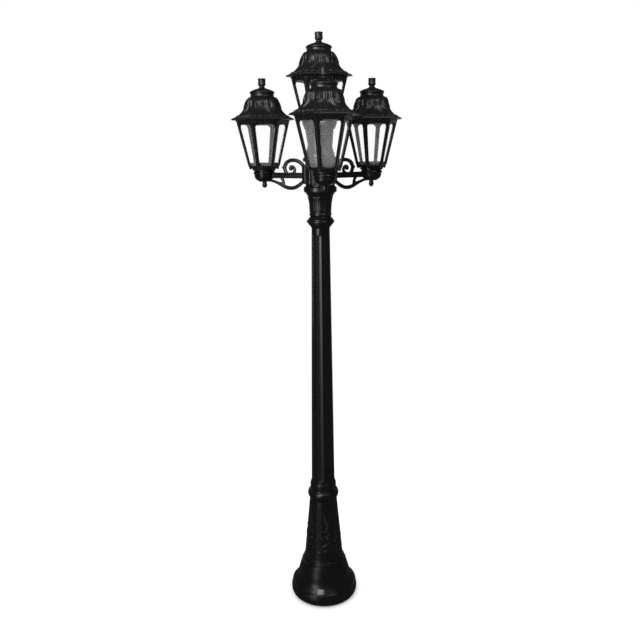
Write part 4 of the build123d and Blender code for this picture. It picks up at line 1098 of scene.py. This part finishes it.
# ------------------------------------------------------------------ gallery, lampholder, nut
gal = chain(
    rounded([(21.5, -160.0), (44.8, -160.0, 0.4), (45.5, -160.8, 0.5), (45.5, -162.0, 0.8), (44.4, -163.4, 0.8), (43.6, -165.0, 0.6), (41.4, -166.2, 0.8),
             (40.6, -167.4, 0.5), (39.8, -168.2, 0.5), (39.4, -171.4, 0.4), (39.0, -172.0), (24.0, -172.0), (24.0, -200.5, 1.0), (22.0, -203.0, 0.5), (5.0, -203.0)], arc=3),
    [(5.0, -200.0), (21.5, -200.0)])
GALLERY = lathe(gal, 144)


def holder_meshes():
    out = chain(
        rounded([(5.0, -200.0), (18.4, -200.0, 0.8), (19.4, -197.0, 0.8), (19.4, -175.0, 1.0), (17.6, -171.4, 1.0), (17.5, -160.0, 0.8), (16.8, -159.0, 0.4)], arc=3),
        [(14.3, -159.0), (14.3, -183.4), (9.0, -183.4), (9.0, -194.5), (5.0, -194.5)])
    out = refine(out, 3.0)

    def fn(R, Z, PHI, I):
        live = (R > 19.0) & (Z > -196.0) & (Z < -176.0)
        return R - np.where(live, 0.7 * (np.abs(np.cos(12 * PHI)) < 0.35), 0.0), Z
    body = lathe(out, 144, fn)
    zz = np.linspace(-182.6, -159.6, 60)
    sh = [(13.3, z) for z in zz] + [(13.9, -159.0), (14.6, -158.8), (14.8, -159.4), (14.35, -160.0)] + [(14.2, z) for z in zz[::-1][1:]]
    n_in = len(zz)

    def th(R, Z, PHI, I):
        return R + np.where(I < n_in, 0.42 * np.cos(2 * PI * Z / 3.63 + PHI) - 0.1, 0.0), Z
    shell = lathe(sh, 96, th)
    base = lathe(rounded([(0, -186.4), (9.4, -186.4), (9.4, -183.2, 0.3), (0, -183.2)], arc=2), 48)
    tongue = blob((0, 0, -182.6), (0, 0, 1), (1, 0, 0), 5.2, 2.6, 1.6, sides=20)
    return body, join([shell, tongue]), base


HOLDER_BODY, HOLDER_SHELL, HOLDER_BASE = holder_meshes()

nut = chain([(5.05, -223.0), (5.05, -209.0)], rounded([(5.05, -209.0), (7.6, -209.0, 0.3), (7.3, -210.8, 0.5), (7.2, -213.0)], arc=2),
            catmull([(7.2, -213.0), (8.1, -216.0), (8.8, -219.4), (8.6, -222.6), (7.4, -225.8), (5.4, -228.2), (2.8, -229.8), (0, -230.2)], 0.9))
nut = np.vstack([[(0, -223.0)], nut])
NUT = lathe(nut, 72)

# ------------------------------------------------------------------ the four lanterns
for place, at in PLACE.items():
    t = TURN[place]
    put = lambda m: (spin(m[0], t, at), m[1])
    lid, lan = f"lid_{place}", f"lantern_{place}"
    piece(f"bell_roof_{place}", put(ROOF), RESIN_ROOF_PAINTED_LIT, lid, [f"roof_{place}"], sharp=48)
    piece(f"vent_top_{place}", put(VENT), RESIN_ROOF_PAINTED_LIT, lid, [f"vent_cap_{place}"])
    piece(f"turned_finial_{place}", put(FINIAL), RESIN_ROOF_PAINTED_LIT, lid, [f"finial_{place}"], sharp=50)
    piece(f"screws_{place}", put(SCREWS), SCREW, lid, [f"roof_screws_{place}"])
    piece(f"glazing_cage_{place}", put(CAGE), RESIN, lan, [f"cage_{place}"])
    piece(f"gallery_dish_{place}", put(GALLERY), RESIN, lan, [f"gallery_{place}"])
    hb = piece(f"socket_body_{place}", put(join([HOLDER_BODY, HOLDER_BASE])), HOLDER, lan, [f"lampholder_{place}"])
    piece(f"socket_shell_{place}", put(HOLDER_SHELL), BRASS, lan, ())
    if place != "top":
        piece(f"ball_end_{place}", put(NUT), RESIN, f"nut_{place}", [f"ball_nut_{place}"])

# ------------------------------------------------------------------ floor
bm_n, rings = 96, [0.0, 0.3, 0.6, 1.0, 2.0, 4.0, 8.0, 16.0, 30.0]
V = [(0.0, 0.0, 0.0)]
F = []
for r in rings[1:]:
    V += [(r * math.cos(2 * PI * k / bm_n), r * math.sin(2 * PI * k / bm_n), 0.0) for k in range(bm_n)]
for k in range(bm_n):
    F.append((0, 1 + k, 1 + (k + 1) % bm_n))
for i in range(len(rings) - 2):
    a, b = 1 + i * bm_n, 1 + (i + 1) * bm_n
    for k in range(bm_n):
        k2 = (k + 1) % bm_n
        F.append((a + k, b + k, b + k2, a + k2))
me = bpy.data.meshes.new("studio_floor")
me.from_pydata(V, [], F)
floor_ob = bpy.data.objects.new("studio_floor", me)
bpy.context.scene.collection.objects.link(floor_ob)
fm, nt, p, vec = new_material("pale_floor")
nt.links.new(ramp(nt, noise(nt, vec, 3.0, 4.0), [(0.3, (0.955, 0.955, 0.955)), (0.7, (0.975, 0.975, 0.975))]), p.inputs["Base Color"])
nt.links.new(spread(nt, noise(nt, vec, 40.0, 3.0), 0.75, 0.9), p.inputs["Roughness"])
p.inputs["Specular IOR Level"].default_value = 0.1
p.inputs["Emission Color"].default_value = (1, 1, 1, 1)
p.inputs["Emission Strength"].default_value = 0.10
bump(nt, p, noise(nt, vec, 220.0, 3.0), 0.05, 0.0005)
# the floor fades into the white surround away from the foot
ln = nt.nodes.new("ShaderNodeVectorMath")
ln.operation = "LENGTH"
nt.links.new(vec, ln.inputs[0])
nt.links.new(spread(nt, ln.outputs["Value"], 1.0, 0.0, 0.45, 1.5), p.inputs["Alpha"])
me.materials.append(fm)
floor_ob.visible_glossy = False
floor_ob.visible_shadow = False

# ------------------------------------------------------------------ world: white to the camera, soft white light, dim in reflections
world = bpy.data.worlds.new("studio_white")
bpy.context.scene.world = world
world.use_nodes = True
wt = world.node_tree
wt.nodes.clear()
wo = wt.nodes.new("ShaderNodeOutputWorld")
bg = wt.nodes.new("ShaderNodeBackground")
wt.links.new(bg.outputs[0], wo.inputs["Surface"])
bg.inputs["Color"].default_value = (1, 1, 1, 1)
lp = wt.nodes.new("ShaderNodeLightPath")
tr = wt.nodes.new("ShaderNodeMath")
tr.operation = "MULTIPLY_ADD"
tr.inputs[1].default_value = -0.945         # reflections see a dim surround
tr.inputs[2].default_value = 1.0
wt.links.new(lp.outputs["Is Glossy Ray"], tr.inputs[0])
wt.links.new(tr.outputs[0], bg.inputs["Strength"])


# ------------------------------------------------------------------ lamps
def softbox(name, loc, aim, size_x, size_y, power, spread_deg=180.0):
    L = bpy.data.lights.new(name, "AREA")
    L.shape = "RECTANGLE"
    L.size, L.size_y = size_x, size_y
    L.energy = power
    L.spread = math.radians(spread_deg)
    ob = bpy.data.objects.new(name, L)
    d = Vector(aim) - Vector(loc)
    ob.matrix_world = Matrix.Translation(Vector(loc)) @ d.to_track_quat("-Z", "Y").to_matrix().to_4x4()
    bpy.context.scene.collection.objects.link(ob)
    return ob


def around(az, dist, z):
    """A place at az degrees left of the camera's side of the post."""
    a = (-93.7 - az) * RAD
    return (dist * math.cos(a), dist * math.sin(a), z)


# the key is a tall strip whose light falls off towards the ground
for i, (z0, z1, watt, wide) in enumerate(((0.95, 2.95, 6.6, 80.0), (0.30, 0.95, 4.6, 180.0), (-0.35, 0.30, 1.7, 180.0), (-1.00, -0.35, 0.7, 180.0))):
    softbox(f"key_strip_{i}", around(35, 2.5, (z0 + z1) / 2), (0, 0, (z0 + z1) / 2), 0.95, z1 - z0, watt, wide)
softbox("front_high", around(24, 2.7, 2.75), (0, 0, 1.95), 2.0, 1.1, 33.0)
softbox("top_right", around(-35, 2.3, 3.4), (0, 0, 1.75), 1.2, 1.2, 12.0)
softbox("rear_left", around(150, 2.6, 1.6), (0, 0, 1.1), 0.5, 2.6, 3.0)
softbox("rear_right", around(-140, 2.6, 1.6), (0, 0, 1.1), 0.5, 2.6, 1.0)
softbox("rear_low", around(180, 2.6, 0.9), (0, 0, 0.9), 1.2, 1.4, 7.0)

# ------------------------------------------------------------------ camera
cam = bpy.data.cameras.new("photo_camera")
cam.lens, cam.sensor_width = 38.8125, 36.0
cam.clip_start, cam.clip_end = 0.05, 100.0
cam_ob = bpy.data.objects.new("photo_camera", cam)
loc = Vector((-0.1516, -2.3451, 1.652))
d0 = Vector((0.0645, 0.9979, 0.0)).normalized()
yaw = 0.133 * RAD
h = Vector((d0.x * math.cos(yaw) - d0.y * math.sin(yaw), d0.x * math.sin(yaw) + d0.y * math.cos(yaw), 0.0))
pitch = 13.87 * RAD
fwd = Vector((h.x * math.cos(pitch), h.y * math.cos(pitch), -math.sin(pitch)))
right = Vector((h.y, -h.x, 0.0)).normalized()
up = right.cross(fwd).normalized()
roll = 0.61 * RAD
r2 = right * math.cos(roll) - up * math.sin(roll)
u2 = up * math.cos(roll) + right * math.sin(roll)
M = Matrix((r2, u2, -fwd)).transposed().to_4x4()
cam_ob.matrix_world = Matrix.Translation(loc) @ M
bpy.context.scene.collection.objects.link(cam_ob)
bpy.context.scene.camera = cam_ob

vs = bpy.context.scene.view_settings
vs.view_transform = "Standard"
vs.look = "None"
vs.exposure = 0.0
vs.gamma = 1.0
